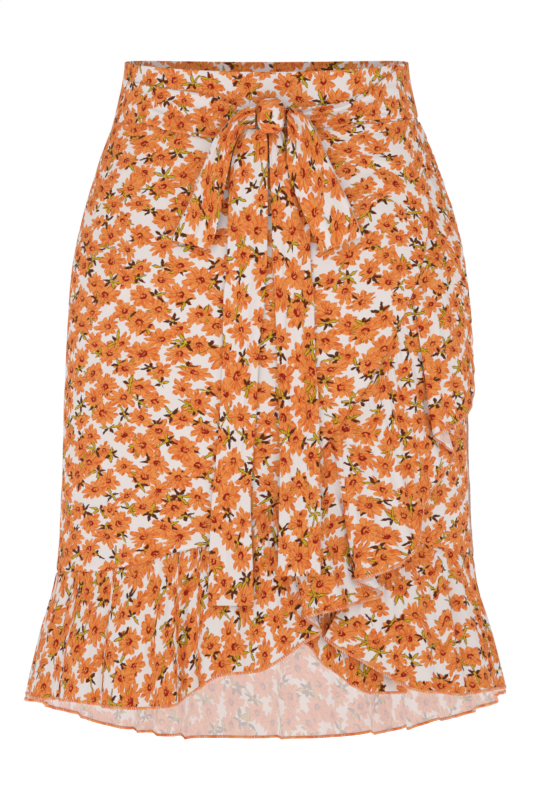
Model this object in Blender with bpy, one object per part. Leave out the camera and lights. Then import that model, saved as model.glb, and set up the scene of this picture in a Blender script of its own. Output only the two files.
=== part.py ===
"""A knee-length wrap skirt with ruffled edges and a tie belt, filled out as it is worn.

Metres and degrees. +Z is up, the front faces -Y, and the origin is the centre of the waist.
Every cloth piece is laid on one form: a stack of half-ellipse sections, wider at the hips and
again at the hem. A place on it has an angle round the body (0 is the middle of the front, 90 the
side at +X, 180 the middle of the back), a depth below the waist, and a distance out from it.
"""

import math
from bisect import bisect_right
from collections import namedtuple

import bpy
from mathutils import Vector

# Cloth
WALL = 0.0012  # one layer
BAND_SEAM_GAP = 0.06  # degrees each side of a side seam, about 0.15 mm
BAND_WALL = 0.0022  # the waistband is doubled
SEAM_GAP = 0.0005  # between a panel and its ruffle, measured straight down
WAIST_GAP = 0.0008  # under the waistband, where the two walls lean towards each other

# How far the middle of each layer is from the form
UNDER_OUT = -0.0004
BACK_OUT = 0.0011
BAND_OUT = 0.0015
OVER_OUT = 0.0022

# Waistband
BAND_HEIGHT = 0.052
BAND_LEFT_SEAM = -72.0  # the angles where front and back band meet and the belt is sewn in
BAND_RIGHT_SEAM = 63.0
WAIST_DIP = 0.0095  # the front of the waist lies lower than the sides, and the back higher
WAIST_DIP_FRONT = 0.0045

# How finely the pieces are divided
BAND_FRONT_COLUMNS = 24
BAND_BACK_COLUMNS = 32
BAND_ROWS = 2
STEPS_PER_FOLD = 2
SASH_COLUMNS = 12
SASH_ROWS = 5
LOOP_COLUMNS = 5
TAIL_COLUMNS = 4
STEPS_PER_TAIL_LINE = 2
KNOT_RINGS = 8
KNOT_SIDES = 16

# Colours
ORANGE = (0.80, 0.36, 0.16, 1.0)
PALE_ORANGE = (0.82, 0.47, 0.30, 1.0)
PEACH = (0.84, 0.56, 0.42, 1.0)
ROUGHNESS = 0.85

Section = namedtuple("Section", "depth half_width front back")
FORM = [
    Section(-0.020, 0.1325, 0.099, 0.106),
    Section(0.000, 0.1330, 0.099, 0.106),
    Section(0.050, 0.1420, 0.103, 0.113),
    Section(0.100, 0.1590, 0.110, 0.127),
    Section(0.150, 0.1740, 0.116, 0.138),
    Section(0.200, 0.1840, 0.121, 0.147),
    Section(0.270, 0.1890, 0.124, 0.150),
    Section(0.370, 0.1925, 0.127, 0.151),
    Section(0.430, 0.1945, 0.130, 0.153),
    Section(0.490, 0.1985, 0.135, 0.158),
    Section(0.550, 0.2140, 0.146, 0.170),
    Section(0.610, 0.2270, 0.158, 0.186),
    Section(0.660, 0.2340, 0.165, 0.195),
]

Sewn = namedtuple("Sewn", "name seam folds out panel_rows ruffle_rows panel_colour ruffle_colour")

# Where each panel ends and its ruffle is sewn on, as a depth at each angle
Seam = namedtuple("Seam", "angle depth")
OVER_SEAM = [
    Seam(-90, 0.487),
    Seam(-57, 0.486),
    Seam(-40, 0.480),
    Seam(-23, 0.465),
    Seam(-16, 0.461),
    Seam(-8, 0.446),
    Seam(3, 0.418),
    Seam(16, 0.368),
    Seam(24, 0.335),
    Seam(34, 0.291),
    Seam(45, 0.234),
    Seam(57, 0.173),
    Seam(63, 0.138),
    Seam(71, 0.098),
    Seam(76, 0.057),
]
UNDER_SEAM = [
    Seam(-72, 0.080),
    Seam(-57, 0.163),
    Seam(-41, 0.235),
    Seam(-24, 0.317),
    Seam(-9, 0.376),
    Seam(8, 0.428),
    Seam(23, 0.447),
    Seam(45, 0.457),
    Seam(63, 0.467),
    Seam(90, 0.472),
]
BACK_SEAM = [
    Seam(90, 0.472),
    Seam(135, 0.512),
    Seam(180, 0.530),
    Seam(225, 0.516),
    Seam(270, 0.487),
]

PANEL_GRADING = 1.3  # over 1, a panel has more rows over the hips, where the form curves most

# Ruffles: where a line across the ruffle leaves the seam, and where it ends on the free edge.
# Where the edge angle turns back, the cloth lies in three layers: the two rows of nearly the same
# angle at each turn are the fold's rounded nose.
Fold = namedtuple("Fold", "seam_angle edge_angle edge_depth edge_out")
OVER_RUFFLE = [
    Fold(-89.94, -89.94, 0.6045, 0.0040),
    Fold(-84, -82, 0.6055, 0.0020),
    Fold(-76, -73, 0.6070, 0.0070),
    Fold(-68, -64, 0.6075, 0.0010),
    Fold(-57, -54, 0.6075, 0.0060),
    Fold(-48, -45, 0.6110, 0.0020),
    Fold(-41, -38, 0.6130, 0.0070),
    Fold(-33, -31, 0.6136, 0.0030),
    Fold(-26, -22, 0.6095, 0.0090),
    Fold(-21, -18.5, 0.6010, 0.0040),
    Fold(-14, -10.7, 0.5817, 0.0090),
    Fold(-7.5, -2, 0.5780, 0.0060),
    Fold(-2, 5.9, 0.5600, 0.0080),
    Fold(0.5, 9.0, 0.5520, 0.0050),  # lowest fold: lower layer
    Fold(2.5, 13.6, 0.5425, 0.0035),
    Fold(3.6, 13.8, 0.5400, 0.0065),
    Fold(4.8, 9.9, 0.5297, 0.0090),
    Fold(6, 9.7, 0.5277, 0.0125),  # upper layer
    Fold(10, 19, 0.5195, 0.0140),
    Fold(13.5, 24.0, 0.5150, 0.0055),  # middle fold: lower layer
    Fold(16.5, 31.8, 0.5085, 0.0035),
    Fold(17.7, 32.1, 0.5060, 0.0065),
    Fold(19.2, 24.1, 0.4955, 0.0090),
    Fold(20.5, 23.8, 0.4935, 0.0125),  # upper layer
    Fold(24, 33.9, 0.4830, 0.0155),
    Fold(30, 43.5, 0.4620, 0.0140),
    Fold(35, 47.5, 0.4273, 0.0090),
    Fold(38, 52.5, 0.4100, 0.0050),  # highest fold: lower layer
    Fold(41.5, 58.5, 0.3964, 0.0035),
    Fold(44.5, 64.5, 0.3797, 0.0030),
    Fold(45.7, 64.8, 0.3772, 0.0060),
    Fold(47.5, 52.5, 0.3597, 0.0090),
    Fold(49, 52.2, 0.3577, 0.0125),  # upper layer
    Fold(55, 66.4, 0.3406, 0.0155),
    Fold(60, 77.6, 0.3168, 0.0120),
    Fold(64, 88, 0.2700, 0.0080),
    Fold(69, 99, 0.1900, 0.0075),
    Fold(72, 101, 0.1200, 0.0060),
    Fold(75.5, 96, 0.0570, 0.0040),
]
UNDER_RUFFLE = [
    Fold(-71.5, -79, 0.1200, -0.0010),  # hidden, and flat, as far as the visible corner
    Fold(-60, -74, 0.2500, -0.0010),
    Fold(-51, -64, 0.3250, -0.0010),
    Fold(-42, -53, 0.3800, -0.0010),
    Fold(-33, -42, 0.4250, -0.0010),
    Fold(-23, -31, 0.4650, -0.0015),
    Fold(-14, -20, 0.4940, -0.0020),
    Fold(-6, -10, 0.5150, -0.0025),
    Fold(2, 0, 0.5350, -0.0030),
    Fold(11.5, 11.1, 0.5557, -0.0050),
    Fold(13.5, 14, 0.5706, -0.0060),
    Fold(15.5, 17.9, 0.5805, -0.0085),
    Fold(17.5, 21.8, 0.5923, -0.0075),
    Fold(20, 27.7, 0.5996, -0.0095),
    Fold(22.5, 36.6, 0.5995, -0.0090),  # wide fold: lower layer
    Fold(23.7, 37.0, 0.5960, -0.0060),
    Fold(26.5, 14.9, 0.5490, -0.0030),
    Fold(28, 14.6, 0.5465, 0.0005),  # upper layer
    Fold(29.5, 18.4, 0.5577, 0.0020),
    Fold(32.5, 22.8, 0.5663, 0.0020),
    Fold(36, 29.1, 0.5801, 0.0030),
    Fold(40.5, 37.5, 0.5960, 0.0030),
    Fold(44, 42.5, 0.5990, 0.0050),
    Fold(49, 47, 0.5995, -0.0010),
    Fold(56, 53.9, 0.6030, 0.0070),
    Fold(60, 57.5, 0.6020, 0.0010),
    Fold(68, 65, 0.5995, 0.0070),
    Fold(76, 76, 0.5990, 0.0010),
    Fold(83, 83, 0.5985, 0.0040),
    Fold(89.94, 89.94, 0.5985, 0.0050),
]
BACK_RUFFLE = [
    Fold(90.06, 90.06, 0.6030, 0.004),
    Fold(98, 99, 0.6080, -0.003),
    Fold(106, 107, 0.6150, 0.006),
    Fold(113, 115, 0.6215, -0.002),
    Fold(120, 122, 0.6265, 0.008),
    Fold(127, 126, 0.6310, 0.000),
    Fold(134, 136, 0.6370, 0.007),
    Fold(141, 140, 0.6420, -0.003),
    Fold(150, 151, 0.6490, 0.006),
    Fold(160, 161, 0.6535, -0.001),
    Fold(171, 171, 0.6560, 0.005),
    Fold(182, 182, 0.6560, -0.002),
    Fold(193, 193, 0.6555, 0.006),
    Fold(203, 204, 0.6535, -0.003),
    Fold(211, 209, 0.6500, 0.007),
    Fold(218, 219, 0.6440, -0.001),
    Fold(226, 226, 0.6365, 0.007),
    Fold(235, 236, 0.6280, -0.002),
    Fold(244, 245, 0.6205, 0.006),
    Fold(253, 253, 0.6155, -0.002),
    Fold(261, 262, 0.6120, 0.006),
    Fold(269.94, 269.94, 0.6095, 0.003),
]
RUFFLE_SPREAD = 0.6  # under 1, a fold stands out soon below the seam
RUFFLE_LEAN = 1.3  # over 1, a fold leans sideways mostly near its free edge

# Belt: two bands, each sewn in at a side of the waistband and gathered into the knot
Stretch = namedtuple("Stretch", "angle upper lower out")
SASH_LEFT = [
    Stretch(-72, 0.0195, 0.0590, 0.0042),
    Stretch(-54, 0.0243, 0.0612, 0.0044),
    Stretch(-40, 0.0294, 0.0680, 0.0046),
    Stretch(-26, 0.0342, 0.0745, 0.0050),
    Stretch(-17, 0.0406, 0.0770, 0.0054),
    Stretch(-10, 0.0470, 0.0740, 0.0060),
    Stretch(-3.9, 0.0500, 0.0690, 0.0066),
]
SASH_RIGHT = [
    Stretch(63, 0.0105, 0.0555, 0.0042),
    Stretch(53, 0.0191, 0.0572, 0.0044),
    Stretch(45, 0.0281, 0.0580, 0.0046),
    Stretch(35, 0.0381, 0.0607, 0.0050),
    Stretch(26, 0.0438, 0.0660, 0.0054),
    Stretch(14, 0.0469, 0.0672, 0.0060),
    Stretch(7.2, 0.0482, 0.0668, 0.0066),
]
SASH_PLEATS = 2  # soft ridges along each band, deepest at the knot
SASH_PLEAT = 0.0008

# Bow: lines across each loop and tail, from the knot down, as distances across the front
Line = namedtuple("Line", "left left_depth right right_depth out")
LOOP_LEFT = [
    Line(-0.0110, 0.0470, -0.0110, 0.0675, 0.0180),
    Line(-0.0212, 0.0490, -0.0193, 0.0685, 0.0185),
    Line(-0.0315, 0.0560, -0.0268, 0.0745, 0.0180),
    Line(-0.0419, 0.0680, -0.0315, 0.0850, 0.0170),
    Line(-0.0513, 0.0796, -0.0353, 0.1005, 0.0160),
    Line(-0.0579, 0.0966, -0.0390, 0.1166, 0.0150),
    Line(-0.0645, 0.1145, -0.0428, 0.1373, 0.0140),
    Line(-0.0720, 0.1343, -0.0465, 0.1562, 0.0130),
    Line(-0.0833, 0.1570, -0.0503, 0.1712, 0.0120),
    Line(-0.0905, 0.1715, -0.0540, 0.1805, 0.0110),
]
LOOP_RIGHT = [
    Line(0.0203, 0.0700, 0.0203, 0.0470, 0.0180),
    Line(0.0208, 0.0770, 0.0297, 0.0510, 0.0185),
    Line(0.0200, 0.0850, 0.0400, 0.0580, 0.0180),
    Line(0.0195, 0.0978, 0.0485, 0.0721, 0.0170),
    Line(0.0230, 0.1166, 0.0579, 0.0928, 0.0160),
    Line(0.0305, 0.1355, 0.0673, 0.1135, 0.0150),
    Line(0.0381, 0.1543, 0.0777, 0.1352, 0.0140),
    Line(0.0456, 0.1712, 0.0861, 0.1550, 0.0125),
    Line(0.0520, 0.1835, 0.0905, 0.1680, 0.0110),
]
LOOP_GAP = 0.0038  # between the middles of a loop's front and back layer
LOOP_NOSE = 0.0016  # how far the turn at its end stands past them
BOW_RIDGES = 3  # soft ridges and troughs along each loop and tail
BOW_CREASE = 0.0012
TAIL_LEFT = [
    Line(-0.0235, 0.0735, -0.0005, 0.0735, 0.0100),
    Line(-0.0300, 0.0850, 0.0010, 0.0850, 0.0096),
    Line(-0.0340, 0.1023, 0.0010, 0.1023, 0.0090),
    Line(-0.0362, 0.1353, 0.0012, 0.1353, 0.0075),
    Line(-0.0376, 0.1919, 0.0005, 0.1919, 0.0056),
    Line(-0.0409, 0.2295, -0.0019, 0.2295, 0.0052),
    Line(-0.0418, 0.2831, -0.0070, 0.2831, 0.0050),
    Line(-0.0446, 0.3376, -0.0099, 0.3376, 0.0050),
    Line(-0.0474, 0.3732, -0.0122, 0.3732, 0.0056),
    Line(-0.0521, 0.4183, -0.0150, 0.4183, 0.0068),
    Line(-0.0544, 0.4633, -0.0136, 0.4633, 0.0086),
    Line(-0.0554, 0.5063, -0.0119, 0.5063, 0.0104),
    Line(-0.0553, 0.5160, -0.0136, 0.5160, 0.0108),
]
TAIL_RIGHT = [
    Line(0.0024, 0.0735, 0.0140, 0.0735, 0.0100),
    Line(0.0027, 0.0882, 0.0221, 0.0882, 0.0096),
    Line(0.0036, 0.1165, 0.0315, 0.1165, 0.0085),
    Line(0.0052, 0.1637, 0.0418, 0.1637, 0.0064),
    Line(0.0056, 0.1919, 0.0418, 0.1919, 0.0056),
    Line(0.0080, 0.2295, 0.0451, 0.2295, 0.0052),
    Line(0.0099, 0.2746, 0.0460, 0.2746, 0.0052),
    Line(0.0117, 0.3282, 0.0496, 0.3282, 0.0062),
    Line(0.0127, 0.3910, 0.0514, 0.3910, 0.0110),
    Line(0.0117, 0.4454, 0.0521, 0.4454, 0.0165),
    Line(0.0108, 0.4885, 0.0521, 0.4885, 0.0195),
]
KNOT_ACROSS = 0.0045
KNOT_DEPTH = 0.0560  # below the waist
KNOT_HALF_WIDTH = 0.0137
KNOT_HALF_HEIGHT = 0.0166
KNOT_OUT = 0.0135  # its middle, out from the form
KNOT_HALF_DEPTH = 0.0098
KNOT_SQUARENESS = 0.55  # 1 is an ellipsoid, and less is squarer


def follow(rows, at):
    """The row at a place along a table, as a tuple, by a smooth curve that never overshoots.

    The place is a row's number counted from 0, and may lie between rows.
    """
    last = len(rows) - 1
    i = min(int(at), last - 1)
    t = at - i
    values = []
    for column in range(len(rows[0])):
        y = [row[column] for row in rows]
        steps = [b - a for a, b in zip(y, y[1:])]
        slopes = [steps[0]] + [slope(a, b) for a, b in zip(steps, steps[1:])] + [steps[-1]]
        values.append(hermite(y[i], y[i + 1], slopes[i], slopes[i + 1], t))
    return type(rows[0])(*values)


def slope(before, after):
    """The slope where two steps meet: flat at a turn, or else their harmonic mean."""
    if before * after <= 0:
        return 0.0
    return 2 * before * after / (before + after)


def hermite(start, end, start_slope, end_slope, t):
    """A cubic from start to end with these slopes, t from 0 to 1 along it."""
    return (
        start * (1 + 2 * t) * (1 - t) ** 2
        + start_slope * t * (1 - t) ** 2
        + end * t * t * (3 - 2 * t)
        - end_slope * t * t * (1 - t)
    )


def look_up(rows, key):
    """The row of a table whose first column is key, between rows by a smooth curve."""
    keys = [row[0] for row in rows]
    i = max(0, min(bisect_right(keys, key) - 1, len(rows) - 2))
    width = keys[i + 1] - keys[i]
    t = (key - keys[i]) / width
    values = [key]
    for column in range(1, len(rows[0])):
        y = [row[column] for row in rows]
        rates = [(b - a) / (d - c) for a, b, c, d in zip(y, y[1:], keys, keys[1:])]
        slopes = [rates[0]] + [slope(a, b) for a, b in zip(rates, rates[1:])] + [rates[-1]]
        values.append(hermite(y[i], y[i + 1], slopes[i] * width, slopes[i + 1] * width, t))
    return type(rows[0])(*values)


def on_form(angle, depth, out):
    """A point out metres off the form."""
    section = look_up(FORM, depth)
    turn = math.radians(angle)
    half_depth = section.front if math.cos(turn) > 0 else section.back
    normal = Vector((math.sin(turn) / section.half_width, -math.cos(turn) / half_depth, 0))
    foot = Vector((section.half_width * math.sin(turn), -half_depth * math.cos(turn), -depth))
    return foot + normal.normalized() * out


def on_front(across, depth, out):
    """A point on the front, given by its distance across instead of its angle."""
    half_width = look_up(FORM, depth).half_width + out
    return on_form(math.degrees(math.asin(across / half_width)), depth, out)


def spread(start, end, count):
    """count + 1 numbers from start to end."""
    return [start + (end - start) * i / count for i in range(count + 1)]


def waist_top(angle):
    """The depth of the waistband's upper edge."""
    front = math.cos(math.radians(angle))
    return WAIST_DIP * front + WAIST_DIP_FRONT * front * front


def waist_seam(angle):
    """The depth of the seam under the waistband."""
    return waist_top(angle) + BAND_HEIGHT


def panel(angles, rows, top, bottom, out):
    """Rows of points between two depths, each a function of the angle, closest near the top."""
    grid = []
    for even_share in spread(0.0, 1.0, rows):
        share = even_share**PANEL_GRADING
        grid.append([
            on_form(angle, top(angle) * (1 - share) + bottom(angle) * share, out)
            for angle in angles
        ])
    return grid


def seam_angles(folds):
    """The angles at which a panel has its columns, so that its ruffle meets it."""
    return [fold.seam_angle for fold in folds]


def chords(seam, angles):
    """The seam's depth at any angle, straight between the panel's columns."""
    depths = [look_up(seam, angle).depth for angle in angles]

    def depth_at(angle):
        i = max(0, min(bisect_right(angles, angle) - 1, len(angles) - 2))
        share = (angle - angles[i]) / (angles[i + 1] - angles[i])
        return depths[i] * (1 - share) + depths[i + 1] * share

    return depth_at


def ruffle(folds, seam_depth_at, seam_out, rows, steps):
    """Rows of points from a seam to the ruffle's free edge, steps columns to each fold row."""
    columns = [
        follow(folds, i / steps) for i in range((len(folds) - 1) * steps + 1)
    ]
    grid = []
    for share in spread(0.0, 1.0, rows):
        row = []
        for fold in columns:
            seam_depth = seam_depth_at(fold.seam_angle) + SEAM_GAP
            lean = share**RUFFLE_LEAN
            angle = fold.seam_angle + (fold.edge_angle - fold.seam_angle) * lean
            depth = seam_depth + (fold.edge_depth - seam_depth) * share
            out = seam_out + (fold.edge_out - seam_out) * share**RUFFLE_SPREAD
            row.append(on_form(angle, depth, out))
        grid.append(row)
    return grid


def sash(stretches, columns, rows):
    """Rows of points along a band of the belt, from its side seam to the knot."""
    grid = []
    for share in spread(0.0, 1.0, rows):
        ridge = SASH_PLEAT * math.sin(math.pi * 2 * SASH_PLEATS * share)
        row = []
        for along in spread(0.0, len(stretches) - 1, columns):
            stretch = follow(stretches, along)
            depth = stretch.upper * (1 - share) + stretch.lower * share
            out = stretch.out + ridge * along / (len(stretches) - 1)
            row.append(on_form(stretch.angle, depth, out))
        grid.append(row)
    return grid


def across_line(line, count, out):
    """Points along one line across a loop or tail."""
    points = []
    for share in spread(0.0, 1.0, count):
        across = line.left * (1 - share) + line.right * share
        depth = line.left_depth * (1 - share) + line.right_depth * share
        ridges = math.sin(math.pi * BOW_RIDGES * share)
        crease = BOW_CREASE * ridges * math.sin(math.pi * share)
        points.append(on_front(across, depth, out - crease))
    return points


def loop(lines, count):
    """A band that runs down from the knot, turns, and runs back up behind itself."""
    front = [across_line(line, count, line.out) for line in lines]
    back = [across_line(line, count, line.out - LOOP_GAP) for line in lines]
    end = lines[-1]
    nose_line = end._replace(
        left_depth=end.left_depth + LOOP_NOSE,
        right_depth=end.right_depth + LOOP_NOSE,
    )
    nose = across_line(nose_line, count, end.out - LOOP_GAP / 2)
    return front + [nose] + back[::-1]


def tail(lines, count, steps):
    """A hanging end of the belt."""
    places = [i / steps for i in range((len(lines) - 1) * steps + 1)]
    return [
        across_line(line, count, line.out)
        for line in (follow(lines, place) for place in places)
    ]


def dyed(name, colour):
    """A plain cloth material for one piece."""
    material = bpy.data.materials.new(name)
    material.use_nodes = True
    shader = material.node_tree.nodes["Principled BSDF"]
    shader.inputs["Base Color"].default_value = colour
    shader.inputs["Roughness"].default_value = ROUGHNESS
    shader.inputs["Metallic"].default_value = 0.0
    return material


def piece(name, points, faces, colour):
    """One named object from points and faces."""
    mesh = bpy.data.meshes.new(name)
    mesh.from_pydata(points, [], faces)
    mesh.materials.append(dyed(name, colour))
    mesh.shade_smooth()
    made = bpy.data.objects.new(name, mesh)
    bpy.context.collection.objects.link(made)
    return made


def cloth(name, grid, wall, colour):
    """A sheet through rows of points, with its wall given by Solidify."""
    columns = len(grid[0])
    points = [point for row in grid for point in row]
    faces = []
    for r in range(len(grid) - 1):
        for c in range(columns - 1):
            corner = r * columns + c
            faces.append((corner, corner + columns, corner + columns + 1, corner + 1))
    sheet = piece(name, points, faces, colour)
    walls = sheet.modifiers.new("Wall", "SOLIDIFY")
    walls.thickness = wall
    walls.offset = 0.0
    return sheet


def waistband():
    """The doubled band, in a front and a back length that meet at the side seams."""
    front_start = BAND_LEFT_SEAM + BAND_SEAM_GAP
    front_end = BAND_RIGHT_SEAM - BAND_SEAM_GAP
    back_start = BAND_RIGHT_SEAM + BAND_SEAM_GAP
    back_end = 360 + BAND_LEFT_SEAM - BAND_SEAM_GAP
    lengths = {
        "waistband_front": spread(front_start, front_end, BAND_FRONT_COLUMNS),
        "waistband_back": spread(back_start, back_end, BAND_BACK_COLUMNS),
    }
    for name, angles in lengths.items():
        grid = panel(angles, BAND_ROWS, waist_top, waist_seam, BAND_OUT)
        cloth(name, grid, BAND_WALL, ORANGE)


def body():
    """The back, the front that lies under, the front that wraps over it, and their ruffles."""

    def top(angle):
        return waist_seam(angle) + WAIST_GAP

    sewn = [
        Sewn("back", BACK_SEAM, BACK_RUFFLE, BACK_OUT, 8, 4, PALE_ORANGE, PEACH),
        Sewn("under", UNDER_SEAM, UNDER_RUFFLE, UNDER_OUT, 7, 5, PEACH, ORANGE),
        Sewn("over", OVER_SEAM, OVER_RUFFLE, OVER_OUT, 8, 6, ORANGE, PALE_ORANGE),
    ]
    for pair in sewn:
        angles = seam_angles(pair.folds)
        end = chords(pair.seam, angles)
        panel_grid = panel(angles, pair.panel_rows, top, end, pair.out)
        ruffle_grid = ruffle(pair.folds, end, pair.out, pair.ruffle_rows, STEPS_PER_FOLD)
        cloth(f"{pair.name}_panel", panel_grid, WALL, pair.panel_colour)
        cloth(f"{pair.name}_ruffle", ruffle_grid, WALL, pair.ruffle_colour)


def knot():
    """The rounded square where the two bands of the belt cross."""
    rings, sides = KNOT_RINGS, KNOT_SIDES
    points, faces = [], []

    def squared(value):
        return math.copysign(abs(value) ** KNOT_SQUARENESS, value)

    for i in range(1, rings):
        lean = math.pi * i / rings
        out = KNOT_OUT + KNOT_HALF_DEPTH * squared(math.cos(lean))
        half_width = KNOT_HALF_WIDTH * squared(math.sin(lean))
        half_height = KNOT_HALF_HEIGHT * squared(math.sin(lean))
        for j in range(sides):
            turn = 2 * math.pi * j / sides
            across = KNOT_ACROSS + half_width * squared(math.cos(turn))
            depth = KNOT_DEPTH + half_height * squared(math.sin(turn))
            points.append(on_front(across, depth, out))
    for i in range(rings - 2):
        for j in range(sides):
            near, far = i * sides + j, i * sides + (j + 1) % sides
            faces.append((near, far, far + sides, near + sides))
    faces.append(tuple(range(sides))[::-1])
    faces.append(tuple(range((rings - 2) * sides, (rings - 1) * sides)))
    piece("bow_knot", points, faces, ORANGE)


def belt():
    """The tie belt: two bands to the knot, two loops and two tails."""
    cloth("sash_left", sash(SASH_LEFT, SASH_COLUMNS, SASH_ROWS), WALL, PALE_ORANGE)
    cloth("sash_right", sash(SASH_RIGHT, SASH_COLUMNS, SASH_ROWS), WALL, PALE_ORANGE)
    knot()
    cloth("bow_loop_left", loop(LOOP_LEFT, LOOP_COLUMNS), WALL, PALE_ORANGE)
    cloth("bow_loop_right", loop(LOOP_RIGHT, LOOP_COLUMNS), WALL, PALE_ORANGE)
    cloth("sash_tail_left", tail(TAIL_LEFT, TAIL_COLUMNS, STEPS_PER_TAIL_LINE), WALL, PEACH)
    cloth("sash_tail_right", tail(TAIL_RIGHT, TAIL_COLUMNS, STEPS_PER_TAIL_LINE), WALL, PEACH)


for old in list(bpy.data.objects):
    bpy.data.objects.remove(old, do_unlink=True)
waistband()
body()
belt()
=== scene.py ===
"""A knee-length wrap skirt with ruffled edges and a tie belt, in a floral print.

Run as a script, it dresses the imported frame: every piece of cloth is laid on the same form as its
solid, as a thin sheet with its creases, gathers and overlocked hems.
Metres and degrees; +Z is up and the front faces -Y. A place on the form has an angle round the body
(0 is the middle of the front, 90 the side at +X), a depth below the waist and a distance out.
"""

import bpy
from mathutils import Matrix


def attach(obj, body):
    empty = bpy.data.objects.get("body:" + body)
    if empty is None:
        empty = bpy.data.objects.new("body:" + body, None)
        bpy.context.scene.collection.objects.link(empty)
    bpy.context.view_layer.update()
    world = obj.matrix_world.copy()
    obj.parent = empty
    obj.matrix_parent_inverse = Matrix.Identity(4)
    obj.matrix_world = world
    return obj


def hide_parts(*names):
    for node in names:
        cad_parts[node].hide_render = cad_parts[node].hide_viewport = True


bl_info = {
    "name": "Wrap Skirt",
    "version": (1, 0, 0),
    "blender": (4, 5, 0),
    "location": "View3D > Sidebar > Wrap Skirt",
    "description": "Builds a ruffled wrap skirt with a tied belt from its packed frame",
    "category": "Object",
}

import math
from collections import namedtuple

import bpy
import numpy as np
from bpy.props import FloatProperty, FloatVectorProperty, PointerProperty

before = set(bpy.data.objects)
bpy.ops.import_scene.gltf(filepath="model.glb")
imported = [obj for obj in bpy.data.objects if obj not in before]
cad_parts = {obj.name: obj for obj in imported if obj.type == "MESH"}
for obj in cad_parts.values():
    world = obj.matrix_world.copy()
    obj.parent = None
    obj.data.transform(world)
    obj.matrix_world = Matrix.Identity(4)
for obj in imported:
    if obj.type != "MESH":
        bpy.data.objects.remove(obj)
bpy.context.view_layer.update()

# --- The form and the cut, as in the solids -------------------------------------------------

SEAM_GAP = 0.0004  # between a panel and its ruffle
WAIST_GAP = 0.0004
UNDER_OUT = -0.0004  # how far the outer face of each layer is from the form
BACK_OUT = 0.0011
BAND_OUT = 0.0015
OVER_OUT = 0.0024
BAND_HEIGHT = 0.052
BAND_LEFT_SEAM = -72.0
BAND_RIGHT_SEAM = 63.0
HALF_SIDE_SEAM = 0.05  # in degrees
WAIST_DIP = 0.0095  # the front of the waist lies lower than the sides, and the back higher
WAIST_DIP_FRONT = 0.0045

Section = namedtuple("Section", "depth half_width front back")
FORM = [
    Section(-0.020, 0.1325, 0.099, 0.106),
    Section(0.000, 0.1330, 0.099, 0.106),
    Section(0.050, 0.1420, 0.103, 0.113),
    Section(0.100, 0.1590, 0.110, 0.127),
    Section(0.150, 0.1740, 0.116, 0.138),
    Section(0.200, 0.1840, 0.121, 0.147),
    Section(0.270, 0.1890, 0.124, 0.150),
    Section(0.370, 0.1925, 0.127, 0.151),
    Section(0.430, 0.1945, 0.130, 0.153),
    Section(0.490, 0.1985, 0.135, 0.158),
    Section(0.550, 0.2140, 0.146, 0.170),
    Section(0.610, 0.2270, 0.158, 0.186),
    Section(0.660, 0.2340, 0.165, 0.195),
]

Seam = namedtuple("Seam", "angle depth")
OVER_SEAM = [
    Seam(-90, 0.487),
    Seam(-57, 0.486),
    Seam(-40, 0.480),
    Seam(-23, 0.465),
    Seam(-16, 0.461),
    Seam(-8, 0.446),
    Seam(3, 0.418),
    Seam(16, 0.368),
    Seam(24, 0.335),
    Seam(34, 0.291),
    Seam(45, 0.234),
    Seam(57, 0.173),
    Seam(63, 0.138),
    Seam(71, 0.098),
    Seam(76, 0.057),
]
UNDER_SEAM = [
    Seam(-72, 0.080),
    Seam(-57, 0.163),
    Seam(-41, 0.235),
    Seam(-24, 0.317),
    Seam(-9, 0.376),
    Seam(8, 0.428),
    Seam(23, 0.447),
    Seam(45, 0.457),
    Seam(63, 0.467),
    Seam(90, 0.472),
]
BACK_SEAM = [
    Seam(90, 0.472),
    Seam(135, 0.512),
    Seam(180, 0.530),
    Seam(225, 0.516),
    Seam(270, 0.487),
]

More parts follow.
